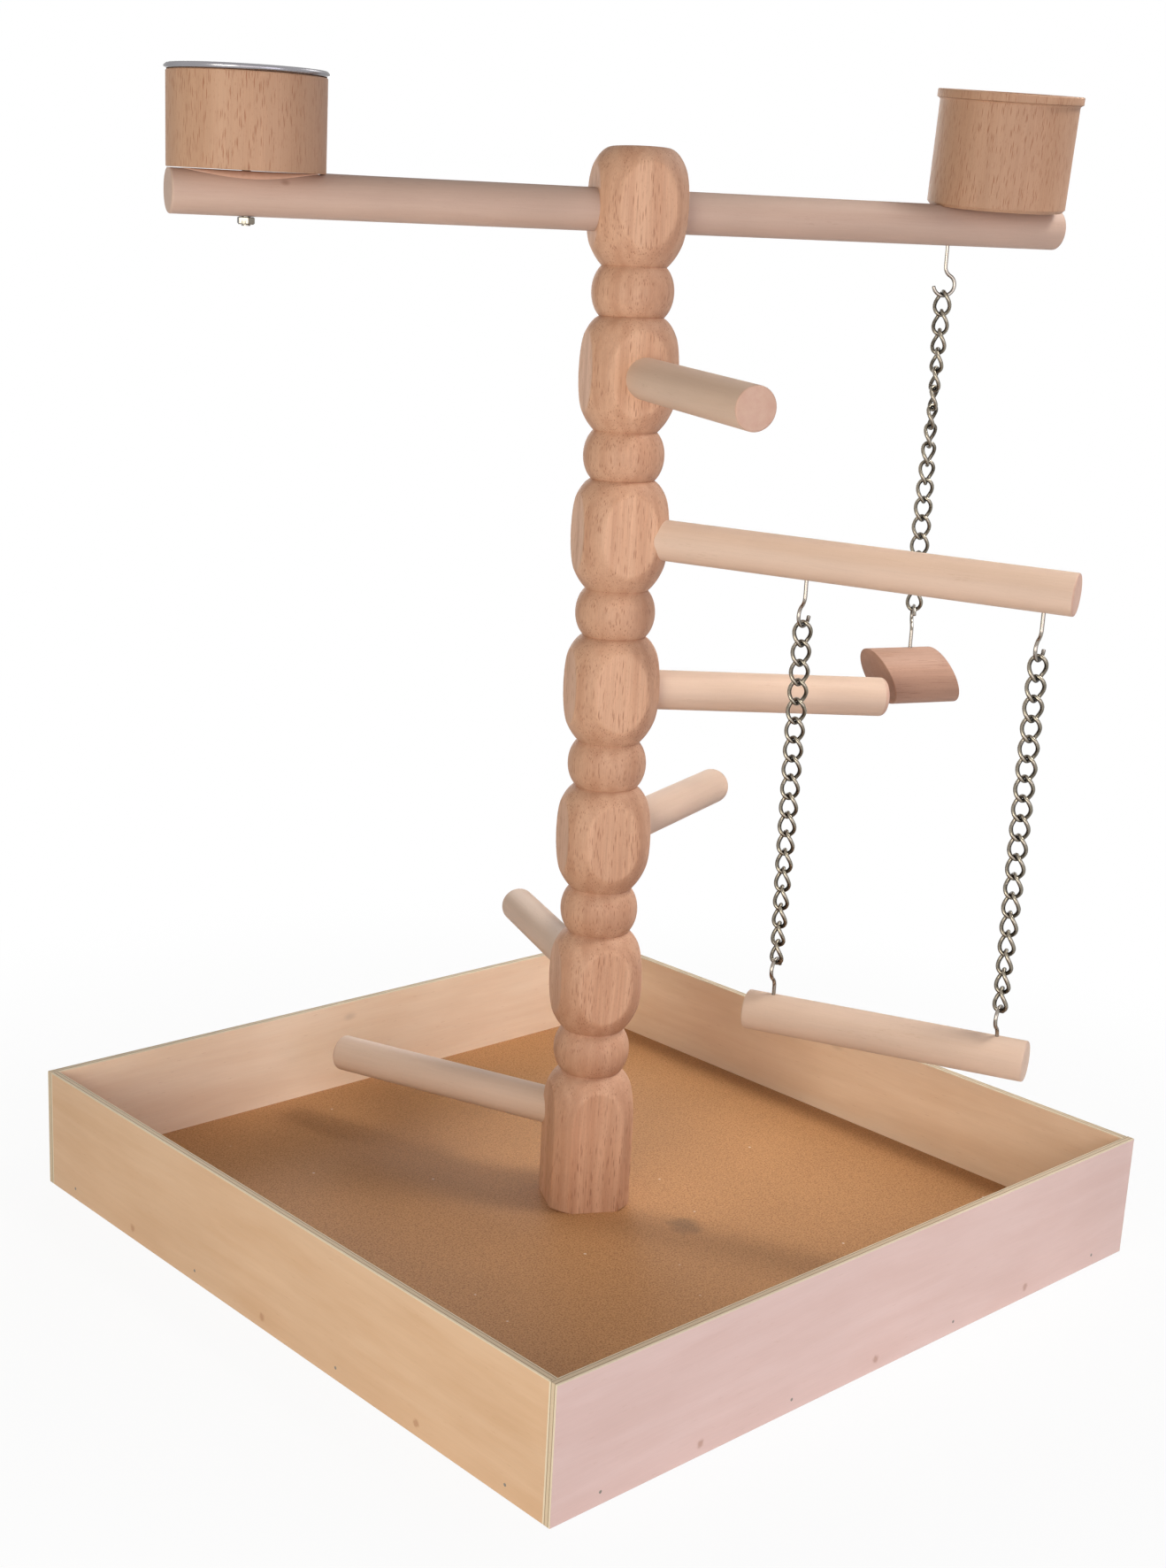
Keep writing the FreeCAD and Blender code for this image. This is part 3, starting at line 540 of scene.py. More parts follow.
@dataclass(frozen=True)
class BareWood(Finish):
    """Bare sanded wood: broad bands, fine fibre, and vessels that show as lines or, end on, as dots."""

    pale: Colour
    deep: Colour
    vessel: Colour
    band_size: float = 9.0
    vessel_width: float = 0.9
    vessel_length: float = 13.0
    vessel_share: float = 0.5
    fibre: float = 0.16
    roughness: float = 0.58
    contrast: float = 1.0
    banding: float = 1.0
    spots: float = 0.0
    dust: Colour = paint(158, 112, 86)
    dust_share: float = 0.0

    def material(self) -> bpy.types.Material:
        """Builds the finish: colour and relief both come from the same solid pattern."""
        graph = self.graph()
        straight = graph.grain()
        where = graph.warp(straight, (0.03, 0.03, 0.009), (5.0, 5.0, 0.0))
        wide, thin, long = 1.0 / self.band_size, 1.0 / self.vessel_width, 1.0 / self.vessel_length
        bands = graph.noise(where, (wide, wide, 0.03 * wide), 3.0, 0.55).step(0.34, 0.68)
        fine = graph.noise(where, (1.4, 1.4, 0.045), 3.0, 0.62)
        patches = graph.noise(straight, (0.035, 0.035, 0.02), 1.0)
        scarce = 0.62 - 0.22 * self.vessel_share
        present = graph.noise(where, (0.16, 0.16, 0.02), 1.0).step(scarce, scarce + 0.08)
        vessel = graph.cells(where, (thin, thin, long)).step(0.34, 0.14) * present
        pores = graph.cells(where, (1.7, 1.7, 0.32)).step(0.28, 0.10)
        hairs = graph.noise(where, (2.6, 2.6, 0.03), 2.0, 0.6).step(0.50, 0.78)
        colour = graph.mix(bands * self.banding, self.pale, self.deep)
        colour = graph.mix(hairs * (0.30 * self.contrast), colour, self.vessel)
        colour = graph.value(colour, 1.0 + (fine - 0.5) * (2.0 * self.fibre) + (patches - 0.5) * 0.16)
        if self.spots:
            spot = graph.cells(straight, (0.022, 0.022, 0.016)).step(0.05, 0.0)
            colour = graph.mix(spot * self.spots, colour, self.vessel)
        if self.dust_share:
            grime = graph.noise(straight, 0.22, 3.0, 0.6)
            colour = graph.mix(graph.mark() * (grime + 0.35) * self.dust_share, colour, self.dust)
        colour = graph.mix(pores * (0.30 * self.contrast), colour, self.vessel)
        colour = graph.mix(vessel * (0.62 * self.contrast), colour, self.vessel)
        rough = self.roughness + (fine - 0.5) * 0.16 + vessel * 0.2
        relief = fine * 0.45 - vessel * 0.7 - pores * 0.25
        return graph.finish(colour, rough, relief, 0.10, Specular_IOR_Level=0.38)


@dataclass(frozen=True)
class Plywood(Finish):
    """Thin birch plywood: calm veneer faces, three plies on the sawn edges, a stain round each brad."""

    pale: Colour
    deep: Colour
    fleck: Colour = paint(176, 128, 92)
    knot: Colour = paint(150, 124, 100)
    rust: Colour = paint(158, 104, 70)
    outer_ply: Colour = paint(222, 206, 180)
    core_ply: Colour = paint(196, 172, 142)
    glue_line: Colour = paint(124, 92, 66)
    thickness: float = 4.5
    half_x: float = 206.5
    half_y: float = 205.0
    height: float = 65.0
    brad_step: float = 119.0
    brad_height: float = 6.0

    def material(self, along: Along) -> bpy.types.Material:
        """Builds the finish for one wall.

        Args:
            along: which way the wall runs.

        Returns:
            The material.
        """
        graph = self.graph()
        own = graph.own()
        x, y, z = graph.parts(own)
        run, through, outer = (x, y, self.half_y) if along is Along.X else (y, x, self.half_x)
        side = through.step(-1.0, 1.0)
        ply = (abs(through) - (outer - self.thickness)) / self.thickness
        sheet = graph.join(run, z, through)
        level = graph.join(run * 0.0045, z * 0.05 + side * 31.0, through * 0.03)
        swirl = graph.warp(level, (1.4, 0.6, 1.0), (0.25, 1.3, 0.0))
        figure = graph.noise(swirl, (1.0, 2.2, 1.0), 4.0, 0.55)
        wash = graph.noise(level, (2.4, 0.45, 1.0), 1.0)
        hairs = graph.noise(sheet, (0.05, 1.6, 1.6), 2.0, 0.6)
        flecks = graph.cells(sheet, (0.055, 0.42, 0.42)).step(0.115, 0.05)
        blotch = graph.noise(level, (3.2, 1.1, 1.0), 3.0, 0.6)
        depth = figure.step(0.30, 0.72) * 0.45 + blotch.step(0.35, 0.68) * 0.4
        face = graph.mix(depth, self.pale, self.deep)
        face = graph.value(face, 1.0 + (hairs - 0.5) * 0.10 + (wash - 0.5) * 0.10)
        face = graph.mix(flecks * 0.22, face, self.fleck)
        knots = graph.cells(graph.join(run * 0.011, z * 0.021 + 3.7, side * 5.0))
        face = graph.mix(knots.step(0.085, 0.01) * 0.42, face, self.knot)
        brad = (run + 0.5 * self.brad_step) / self.brad_step
        off = (brad - brad.floor() - 0.5) * self.brad_step
        low = z - self.brad_height
        ring = (off * off + low * low).root()
        stain = (ring + (graph.noise(own, 0.6) - 0.5) * 2.2).step(2.8, 0.8)
        face = graph.mix(stain * 0.5, face, self.rust)
        core = abs(ply - 0.5).step(0.25, 0.21)
        seam = abs(abs(ply - 0.5) - 0.24).step(0.075, 0.02)
        edge = graph.mix(core * 0.6, self.outer_ply, self.core_ply)
        edge = graph.value(edge, 0.88 + graph.noise(sheet, (0.9, 0.9, 3.0)) * 0.24)
        edge = graph.mix(seam * 0.75, edge, self.glue_line)
        top = z.step(self.height - 0.62, self.height - 0.35)
        if along is Along.X:
            top = top.most(abs(x).step(self.half_x - 0.2, self.half_x - 0.05))
        colour = graph.mix(top, face, edge)
        relief = hairs * 0.6 + figure * 0.2 - seam * top * 0.8 - stain * 0.4
        rough = 0.55 + (hairs - 0.5) * 0.12 + top * 0.15
        return graph.finish(colour, rough, relief, 0.06, Specular_IOR_Level=0.36)


@dataclass(frozen=True)
class Hardboard(Finish):
    """Brown pressed board: fine flecks, a few white specks and a rubbed smudge."""

    mid: Colour
    light: Colour
    dark: Colour
    speck: Colour = paint(214, 200, 184)
    smudge: Colour = paint(72, 58, 44)
    smudge_at: tuple[float, float] = (20.0, -60.0)

    def material(self) -> bpy.types.Material:
        """Builds the finish from object coordinates."""
        graph = self.graph()
        where = graph.own()
        x, y = graph.parts(where)[:2]
        flecks = graph.noise(where, 1.1, 3.0, 0.7)
        grit = graph.noise(where, 3.2, 2.0, 0.7)
        colour = graph.mix(flecks.step(0.30, 0.62), self.dark, self.mid)
        colour = graph.mix(grit.step(0.52, 0.70) * 0.6, colour, self.light)
        colour = graph.value(colour, 1.0 + (graph.noise(where, 0.012) - 0.5) * 0.25)
        colour = graph.mix(graph.cells(where, 0.045).step(0.045, 0.02) * 0.8, colour, self.speck)
        dx, dy = x - self.smudge_at[0], y - self.smudge_at[1]
        near = (dx * dx * 1.5 + dy * dy).root() + (graph.noise(where, 0.15) - 0.5) * 14.0
        colour = graph.mix(near.step(15.0, 3.0) * 0.45, colour, self.smudge)
        return graph.finish(colour, 0.62 + (flecks - 0.5) * 0.2, flecks * 0.6 + grit * 0.4, 0.12,
                            Specular_IOR_Level=0.32)


@dataclass(frozen=True)
class PlatedWire(Finish):
    """Nickel-plated wire: bright where worn, dull and brown in its hollows, partly tarnish and partly painted
    shade, and dull towards its outline, a painted reflection of dark surroundings.
    """

    bright: Colour
    dull: Colour
    roughness: float = 0.24

    def material(self) -> bpy.types.Material:
        """Builds the finish; the carried mark is one on the worn outside of a bend and low in its hollows,
        where the dull colour is tarnish and painted shade.
        """
        graph = self.graph()
        where = graph.grain()
        blotch = graph.noise(where, 0.9, 3.0, 0.6)
        scratch = graph.noise(where, (6.0, 6.0, 1.0))
        # Painted shade and reflection: the mask drops in the hollows and towards the outline, giving the dull
        # colour there.
        rubbed_and_lit = (graph.mark() * 0.6 + 0.5 + (blotch - 0.5) * 0.9 - graph.facing() * 0.9).step(0.1, 0.9)
        rough = self.roughness + (blotch - 0.5) * 0.18 + (1.0 - rubbed_and_lit) * 0.12
        return graph.finish(graph.mix(rubbed_and_lit, self.dull, self.bright), rough, scratch, 0.01, Metallic=1.0)


@dataclass(frozen=True)
class TurnedSteel(Finish):
    """Spun or turned steel, with fine rings round its axis and a painted reflection: darker towards its
    outline.
    """

    colour: Colour
    # edge: painted reflection, the colour shown towards the outline.
    edge: Colour
    roughness: float
    rings: float = 2.2

    def material(self) -> bpy.types.Material:
        """Builds the finish; the rings come from the distance to the piece's own axis and its height."""
        graph = self.graph()
        where = graph.grain()
        x, y, z = graph.parts(where)
        lines = graph.noise(graph.join((x * x + y * y).root(), z), self.rings)
        haze = graph.noise(where, 0.09)
        # Painted reflection: the colour turns to edge towards the outline, standing for dark surroundings at
        # grazing angles.
        colour = graph.mix(graph.facing().step(0.35, 0.95), self.colour, self.edge)
        rough = self.roughness + (haze - 0.5) * 0.16 + (lines - 0.5) * 0.08
        return graph.finish(graph.value(colour, 0.9 + lines * 0.2), rough, lines, 0.012, Metallic=1.0)


@dataclass(frozen=True)
class ClearGlue(Finish):
    """Dried clear glue squeezed out of a joint."""

    thin: Colour
    thick: Colour

    def material(self) -> bpy.types.Material:
        """Builds the finish: wood colour under a hard gloss."""
        graph = self.graph()
        lump = graph.noise(graph.grain(), 0.5)
        return graph.finish(graph.mix(lump, self.thin, self.thick), 0.12 + (lump - 0.5) * 0.08, lump, 0.05,
                            Specular_IOR_Level=0.6)


class Finishes:
    """Every finish of the stand, built once."""

    def __init__(self) -> None:
        """Builds the materials."""
        dowel = {"band_size": 12.0, "vessel_width": 0.7, "vessel_share": 0.0, "fibre": 0.05, "contrast": 0.25,
                 "banding": 0.5}
        self.post = BareWood(
            "turned_post_wood", paint(212, 168, 138), paint(190, 142, 112), paint(142, 88, 62),
            band_size=7.0, vessel_share=1.0, vessel_length=10.0, banding=0.75, dust_share=0.30).material()
        self.perch = BareWood(
            "perch_dowel_wood", paint(212, 184, 164), paint(198, 166, 142), paint(160, 124, 98),
            vessel_length=6.0, spots=0.5, dust=paint(184, 138, 122), dust_share=0.6, **dowel).material()
        # The bar is the perches' dowel stock; its darker colours are painted shade, for the weaker light at
        # the top of the stand.
        self.bar = BareWood(
            "bar_dowel_wood", paint(192, 164, 148), paint(180, 150, 134), paint(140, 104, 88),
            vessel_length=7.0, spots=0.6, **dowel).material()
        self.cup = BareWood(
            "turned_cup_wood", paint(184, 145, 117), paint(166, 126, 98), paint(146, 90, 62), band_size=10.0,
            vessel_width=0.62, vessel_share=1.3, vessel_length=9.0, fibre=0.08, contrast=1.2,
            banding=0.45).material()
        self.block = BareWood(
            "chew_block_wood", paint(178, 139, 118), paint(162, 123, 102), paint(132, 88, 68), band_size=7.0,
            vessel_width=0.6, vessel_length=16.0, vessel_share=0.7, fibre=0.10, banding=0.6).material()
        # The four walls are one plywood; their different colours are painted light and shade, each standing
        # for how its seen face is lit.
        self.front = Plywood("front_wall_ply", paint(226, 198, 190), paint(218, 186, 176),
                             paint(196, 156, 134)).material(Along.X)
        self.back = Plywood("back_wall_ply", paint(244, 222, 198), paint(234, 206, 178)).material(Along.X)
        self.left = Plywood("left_wall_ply", paint(214, 179, 146), paint(202, 162, 125),
                            brad_step=118.0).material(Along.Y)
        self.right = Plywood("right_wall_ply", paint(238, 212, 184), paint(226, 194, 162),
                             brad_step=118.0).material(Along.Y)
        self.board = Hardboard("tray_hardboard", paint(182, 133, 88), paint(214, 168, 118),
                               paint(138, 92, 54)).material()
        # Each wire's dull colour is tarnish and painted shade in its hollows, and painted reflection towards
        # its outline.
        self.hook = PlatedWire("plated_hook_wire", paint(158, 150, 140), paint(64, 55, 48)).material()
        self.link = PlatedWire("plated_chain_wire", paint(146, 138, 124), paint(44, 37, 29), 0.26).material()
        # Each steel's second colour is a painted reflection, shown towards its outline.
        self.bowl = TurnedSteel("spun_bowl_steel", paint(150, 148, 152), paint(84, 82, 84), 0.26).material()
        self.screw = TurnedSteel("zinc_screw_steel", paint(140, 134, 124), paint(66, 60, 54), 0.32).material()
        self.glue = ClearGlue("dried_glue", paint(206, 164, 140), paint(222, 184, 162)).material()


# ---- The tray ----
@dataclass
class Tray:
    """Four plywood walls round a hardboard floor."""

    finishes: Finishes

    def dress(self, nodes: dict[str, bpy.types.Object]) -> None:
        """Gives the CAD pieces that are right as they are their finishes.

        Args:
            nodes: the frame's objects by node name.
        """
        sides = ("front", "back", "left", "right")
        wanted = {"tray_wall_" + side: getattr(self.finishes, side) for side in sides}
        wanted["tray_board"] = self.finishes.board
        wanted |= dict.fromkeys(("wall_nails", "post_screw", "water_cup_bolt", "seed_cup_screw"),
                                self.finishes.screw)
        for name, material in wanted.items():
            for slot in nodes[name].material_slots:
                slot.material = material
            LOG.info("%s: dressed as %s", name, material.name)


# ---- The post and its dowels ----
@dataclass
class TurnedPost:
    """Square stock turned to beads, its four faces left as flat ovals on the big ones."""

    finishes: Finishes
    foot: tuple[float, float] = (1.4, -1.4)
    bead_radius: float = 25.5
    across_flats: float = 43.2
    flat_azimuth: float = -29.0
    neck_radius: float = 15.7
    small_radius: float = 20.0
    pitch: float = 77.4
    big_height: float = 54.0
    top_bead_z: float = 523.5
    beads: int = 6
    crown_radius: float = 14.3
    board_top: float = 12.0
    shoulder_core: float = 13.0
    foot_core: float = 5.0
    small_core: float = 10.0
    flat_softness: float = 0.07
    dust_reach: float = 1.6

    def bead_z(self, index: int) -> float:
        """Height of a big bead's middle, counted down from the top."""
        return self.top_bead_z - index * self.pitch

    def quarter(self, core: float, radius: float, end: float, middle: float, height: float,
                steps: int) -> Array:
        """Quarter oval from a bead's widest point to its neck.

        Radius is core plus (radius - core) times the cosine, height is tall times the sine, of one angle.

        Args:
            core: radius of the oval's middle.
            radius: widest radius.
            end: radius where it stops.
            middle: height of the widest point.
            height: rise to the end, below nought for a lower quarter.
            steps: spans.

        Returns:
            Points (steps + 1, 2) of (radius, height).
        """
        last = math.acos((end - core) / (radius - core))
        t = np.linspace(0.0, last, steps + 1)
        tall = height / math.sin(last)
        return np.stack([core + (radius - core) * np.cos(t), middle + tall * np.sin(t)], axis=-1)

    def outline(self) -> Array:
        """The turned outline from the foot up to the crown."""
        half = 0.5 * self.big_height
        small = 0.5 * (self.pitch - self.big_height)
        base = self.bead_z(self.beads)
        wide, neck, ease = self.bead_radius, self.neck_radius, 0.8
        runs = [np.array([[wide - ease, self.board_top], [wide, self.board_top + ease], [wide, base - 8.0]]),
                self.quarter(self.shoulder_core, wide, neck, base, half, 30)]
        for index in range(self.beads - 1, -1, -1):
            middle = self.bead_z(index)
            low = middle - half - small
            crown = self.crown_radius if index == 0 else neck
            runs += [self.quarter(self.small_core, self.small_radius, neck, low, -small, 12)[::-1],
                     self.quarter(self.small_core, self.small_radius, neck, low, small, 12)[1:],
                     self.quarter(self.foot_core, wide, neck, middle, -half, 26)[::-1],
                     self.quarter(self.shoulder_core, wide, crown, middle, half, 26)[1:]]
        profile = np.concatenate(runs)
        return profile[np.concatenate([[True], np.linalg.norm(np.diff(profile, axis=0), axis=1) > 1e-6])]

    def build(self) -> bpy.types.Object:
        """Turns the post, whose radius is the softer smaller of the turned one and that of the flats."""
        outline = self.outline()
        first, corner = math.radians(self.flat_azimuth), math.pi / 4.0
        angle = whole_turn(200) + first
        from_flat = (angle - first + corner) % (2.0 * corner) - corner
        turned = outline[:, :1] + 0.0 * angle
        flat = 0.5 * self.across_flats / np.cos(from_flat) + 0.0 * turned
        radius = softer(turned, flat, self.flat_softness)
        shoulder = np.clip((flat - radius) / self.dust_reach, 0.0, 1.0)
        rings = polar(radius, angle, outline[:, 1:])
        return Skin("turned_post").wrap(rings + np.array([*self.foot, 0.0]), rings, shoulder).build(
            self.finishes.post, "stand", "post", slot="turned_wood", seed=(31.0, 12.0, 5.0))

    def axis(self, index: int, azimuth: float, rise: float) -> tuple[Array, Array]:
        """Where a perch's axis meets the post's, and its direction outward."""
        return np.array([self.foot[0], self.foot[1], self.bead_z(index)]), heading(azimuth, rise)


@dataclass
class Perches:
    """Six dowels that wind down the post, each an eighth of a turn on from the last."""

    finishes: Finishes
    post: TurnedPost
    radius: float = 10.0
    inner_end: float = 5.0
    layout: tuple[tuple[str, int, float, float, float, float], ...] = (
        ("perch_2", 1, 249.5, -3.2, 137.0, 1.0),
        ("perch_3", 2, -66.5, -2.0, 225.0, 1.0),
        ("perch_4", 3, -31.0, -1.4, 146.0, 3.0),
        ("perch_5", 4, 22.0, -1.4, 157.0, 3.0),
        ("perch_6", 5, 66.0, -0.4, 138.0, 3.0),
        ("perch_7", 6, 106.0, -1.5, 165.0, 2.0),
    )

    def build(self) -> None:
        """Turns each dowel from inside its socket to its rounded end, with sawn ends marked."""
        for number, (name, index, azimuth, rise, reach, ease) in enumerate(self.layout):
            start, along = self.post.axis(index, azimuth, rise)
            outline = rod_outline(self.radius, self.inner_end, reach, (0.0, ease), 8)
            rings = lathe(outline)
            mark = (outline[:, :1] < self.radius - 0.05) * np.ones(rings.shape[1])
            Skin(name + "_dowel").wrap(rings, mark=mark, frame=Frame.at(start, along, UP)).build(
                self.finishes.perch, "stand", name, slot="perch_wood",
                seed=(37.0 * number, 19.0 * number, 211.0 * number))


@dataclass
class TopBar:
    """The dowel through the highest bead, planed flat under each cup."""

    finishes: Finishes
    post: TurnedPost
    radius: float = 10.0
    azimuth: float = -20.5
    rise: float = 0.8
    drop: float = 1.5
    left: float = 224.49
    right: float = 236.49
    ease: float = 1.0
    seat_height: float = 9.2
    lean_azimuth: float = -122.0

    def point(self, reach: float) -> Array:
        """A point of the bar's axis."""
        return (np.array([self.post.foot[0], self.post.foot[1], self.post.top_bead_z - self.drop])
                + heading(self.azimuth, self.rise) * reach)

    def seat(self, reach: float, lean: float) -> Frame:
        """Frame of a cup's seat: local Z up the cup's leaning axis."""
        tilt = math.radians(lean)
        up = UP * math.cos(tilt) + heading(self.lean_azimuth) * math.sin(tilt)
        return Frame.at(self.point(reach) + up * self.seat_height, up, heading(self.azimuth, self.rise))

    def build(self, seats: Sequence[tuple[Frame, float, float]]) -> None:
        """Makes the bar; points above a seat's plane within its cup are pushed down onto the plane.

        Args:
            seats: frame, cup radius and reach of each cup.
        """
        frame = Frame.at(self.point(0.0), heading(self.azimuth, self.rise), UP)
        outline = rod_outline(self.radius, -self.left, self.right, (self.ease, self.ease), 5)
        cliff, margin, spread = 0.02, 1.5, np.linspace(-0.95, 0.95, 15)
        cuts = [reach + side * (size + cliff * step) for _, size, reach in seats for side in (-1, 1)
                for step in (0, 1)]
        cuts += [reach + size * t for _, size, reach in seats for t in spread]
        inside = [c for c in cuts if -self.left + margin < c < self.right - margin]
        outline = np.concatenate([outline, [[self.radius, c] for c in inside]])
        order = np.argsort(outline[:, 1] + 1e-6 * np.sign(outline[:, 1]) * -outline[:, 0], kind="stable")
        rings = lathe(outline[order], 96)
        spots = frame.place(rings)
        for seat, size, _ in seats:
            local = (spots - seat.origin) @ seat.axes.T
            under = np.hypot(local[..., 0], local[..., 1]) <= size + 0.01
            push = np.where(under & (local[..., 2] > 0.0), local[..., 2], 0.0)
            spots = spots - push[..., None] * seat.axes[2]
        Skin("top_bar_dowel").wrap(spots, rings).build(
            self.finishes.bar, "stand", "top_bar", slot="perch_wood", seed=(7.0, 91.0, 640.0), crease=30.0)


# ---- Cups ----
@dataclass
class Cup:
    """Wooden cup on a flat of the bar."""

    finishes: Finishes
    bar: TopBar
    reach: float
    lean: float
    radius: float
    height: float
    wall: float
    floor: float

    def frame(self) -> Frame:
        """Frame of the cup."""
        return self.bar.seat(self.reach, self.lean)

    def turn(self, node: str, outline: Sequence[Point], seed: Point) -> None:
        """Turns the wood from the middle of the foot to the middle of the hollow's floor."""
        Skin(node + "_wood").wrap(lathe(rounded(outline)[1:-1], 120), frame=self.frame()).build(
            self.finishes.cup, "stand", node, slot="cup_wood", seed=seed)


@dataclass
class WaterCup(Cup):
    """Straight wooden cup with a steel bowl, bolted through the bar."""

    reach: float = -189.5
    lean: float = 2.9
    radius: float = 35.2
    height: float = 40.4
    wall: float = 3.7
    floor: float = 6.0
    rim_radius: float = 36.18
    roll: float = 1.25
    sheet: float = 0.7
    gap: float = 0.7
    depth: float = 30.5
    taper: float = 2.5
    corner: float = 8.0
    lift: float = 0.35
    nut_across: float = 7.0
    nut_height: float = 3.2
    nut_gap: float = 0.1
    seat_gap: float = 0.05

    def build(self) -> None:
        """Makes cup, bowl, nut and the glue that shows under the cup."""
        side, inside = self.radius, self.radius - self.wall
        self.turn("water_cup", [(0.0, self.lift, 0.0), (side, self.lift, 0.5), (side, self.height, 0.8),
                                (inside, self.height, 0.5), (inside, self.floor, 1.0),
                                (0.0, self.floor, 0.0)], (55.0, 20.0, 70.0))
        self.build_bowl()
        self.build_nut()
        self.build_glue()

    def build_bowl(self) -> None:
        """Spins the bowl: down the outside, across the foot, up the inside and over the rolled rim."""
        mouth = self.radius - self.wall - self.gap
        foot = mouth - self.taper
        middle, roll = self.rim_radius - self.roll, self.roll
        turn = np.radians(np.linspace(-90.0, 90.0, 13))
        rim = np.stack([middle + roll * np.cos(turn), roll + roll * np.sin(turn)], axis=-1)
        outside = rounded([(0.0, -self.depth, 0.0), (foot, -self.depth, self.corner), (mouth, 0.0, 0.6),
                           (middle, 0.0, 0.0)], 8)
        floor = -self.depth + self.sheet
        inner = rounded([(middle, 2.0 * roll, 0.0), (mouth - 0.2, 2.0 * roll, 1.4),
                         (foot - self.sheet, floor, self.corner - self.sheet), (0.0, floor, 0.0)], 8)
        outline = np.concatenate([outside[1:-1], rim, inner[1:-1]])
        seat = self.frame()
        frame = Frame(seat.origin + seat.axes[2] * (self.height + self.seat_gap), seat.axes)
        Skin("water_bowl_steel").wrap(lathe(outline, 120), frame=frame).build(
            self.finishes.bowl, "bowl", "water_bowl", slot="bowl_steel", crease=50.0)

    def build_nut(self) -> None:
        """Hexagon nut with chamfered corners; each row is the largest radius and the depth of a ring."""
        angle, sixth = whole_turn(72), math.pi / 3.0
        hexagon = 0.5 * self.nut_across / np.cos((angle + 0.5 * sixth) % sixth - 0.5 * sixth)
        under = -(self.bar.seat_height + self.bar.radius) - self.nut_gap
        bore, upper_face, lower_face, whole, high = 2.05, 3.3, 3.4, self.nut_across, self.nut_height
        rows = [(bore, high), (lower_face, high), (whole, high - 0.5), (whole, 0.35), (upper_face, 0.0),
                (bore, 0.0)]
        caps, depths = np.array(rows).T[..., None]
        Skin("water_cup_hex_nut").wrap(polar(np.minimum(hexagon, caps), angle, under - depths),
                                       frame=self.frame()).build(
            self.finishes.screw, "stand", "water_cup_nut", slot="screw_steel", crease=25.0)

    def build_glue(self) -> None:
        """Lens of dried glue on the bar, below the cup's near edge.

        A patch on the dowel: along it by u, down round it by v, deepest where u is nought, a little proud.
        """
        length, top, low, bulge = 31.0, 66.0, 34.0, 0.55
        u = np.linspace(-1.0, 1.0, 49)[:, None]
        v = np.linspace(0.0, 1.0, 9)[None, :]
        along = heading(self.bar.azimuth, self.bar.rise)
        side = unit(np.cross(along, UP))
        above = np.cross(side, along)
        turn = np.radians(top - (top - low) * v * (1.0 - u ** 2))
        proud = 0.03 + bulge * np.sin(math.pi * v) ** 0.6 * (1.0 - u ** 2) ** 0.5
        middle = self.bar.point(self.reach + 1.0) + (u * length)[..., None] * along
        out = np.cos(turn)[..., None] * side + np.sin(turn)[..., None] * above
        outer = middle + (self.bar.radius + proud)[..., None] * out
        inner = middle + (self.bar.radius - 0.4) * out
        Skin("water_cup_glue").wrap(np.concatenate([outer, inner[:, ::-1]], axis=1)).build(
            self.finishes.glue, "stand", slot="cup_wood", crease=60.0)


@dataclass
class SeedCup(Cup):
    """Turned cup with a proud lip, screwed on from below."""

    reach: float = 198.5
    lean: float = 6.5
    radius: float = 34.5
    height: float = 55.2
    wall: float = 4.0
    floor: float = 9.0
    lip_radius: float = 36.1
    lip_height: float = 4.0
    cove: float = 1.4
    corner: float = 6.0
    chamfer: float = 1.6

    def build(self) -> None:
        """Turns the cup: foot, straight side, cove, lip and hollow."""
        side, lip, inside = self.radius, self.lip_radius, self.radius - self.wall
        lip_foot = self.height - self.lip_height
        self.turn("seed_cup", [(0.0, 0.0, 0.0), (side - self.chamfer, 0.0, 0.4), (side, self.chamfer, 0.5),
                               (side, lip_foot, self.cove), (lip, lip_foot, 0.5), (lip, self.height, 0.7),
                               (inside, self.height, 0.7), (inside, self.floor, self.corner),
                               (0.0, self.floor, 0.0)], (140.0, 66.0, 300.0))


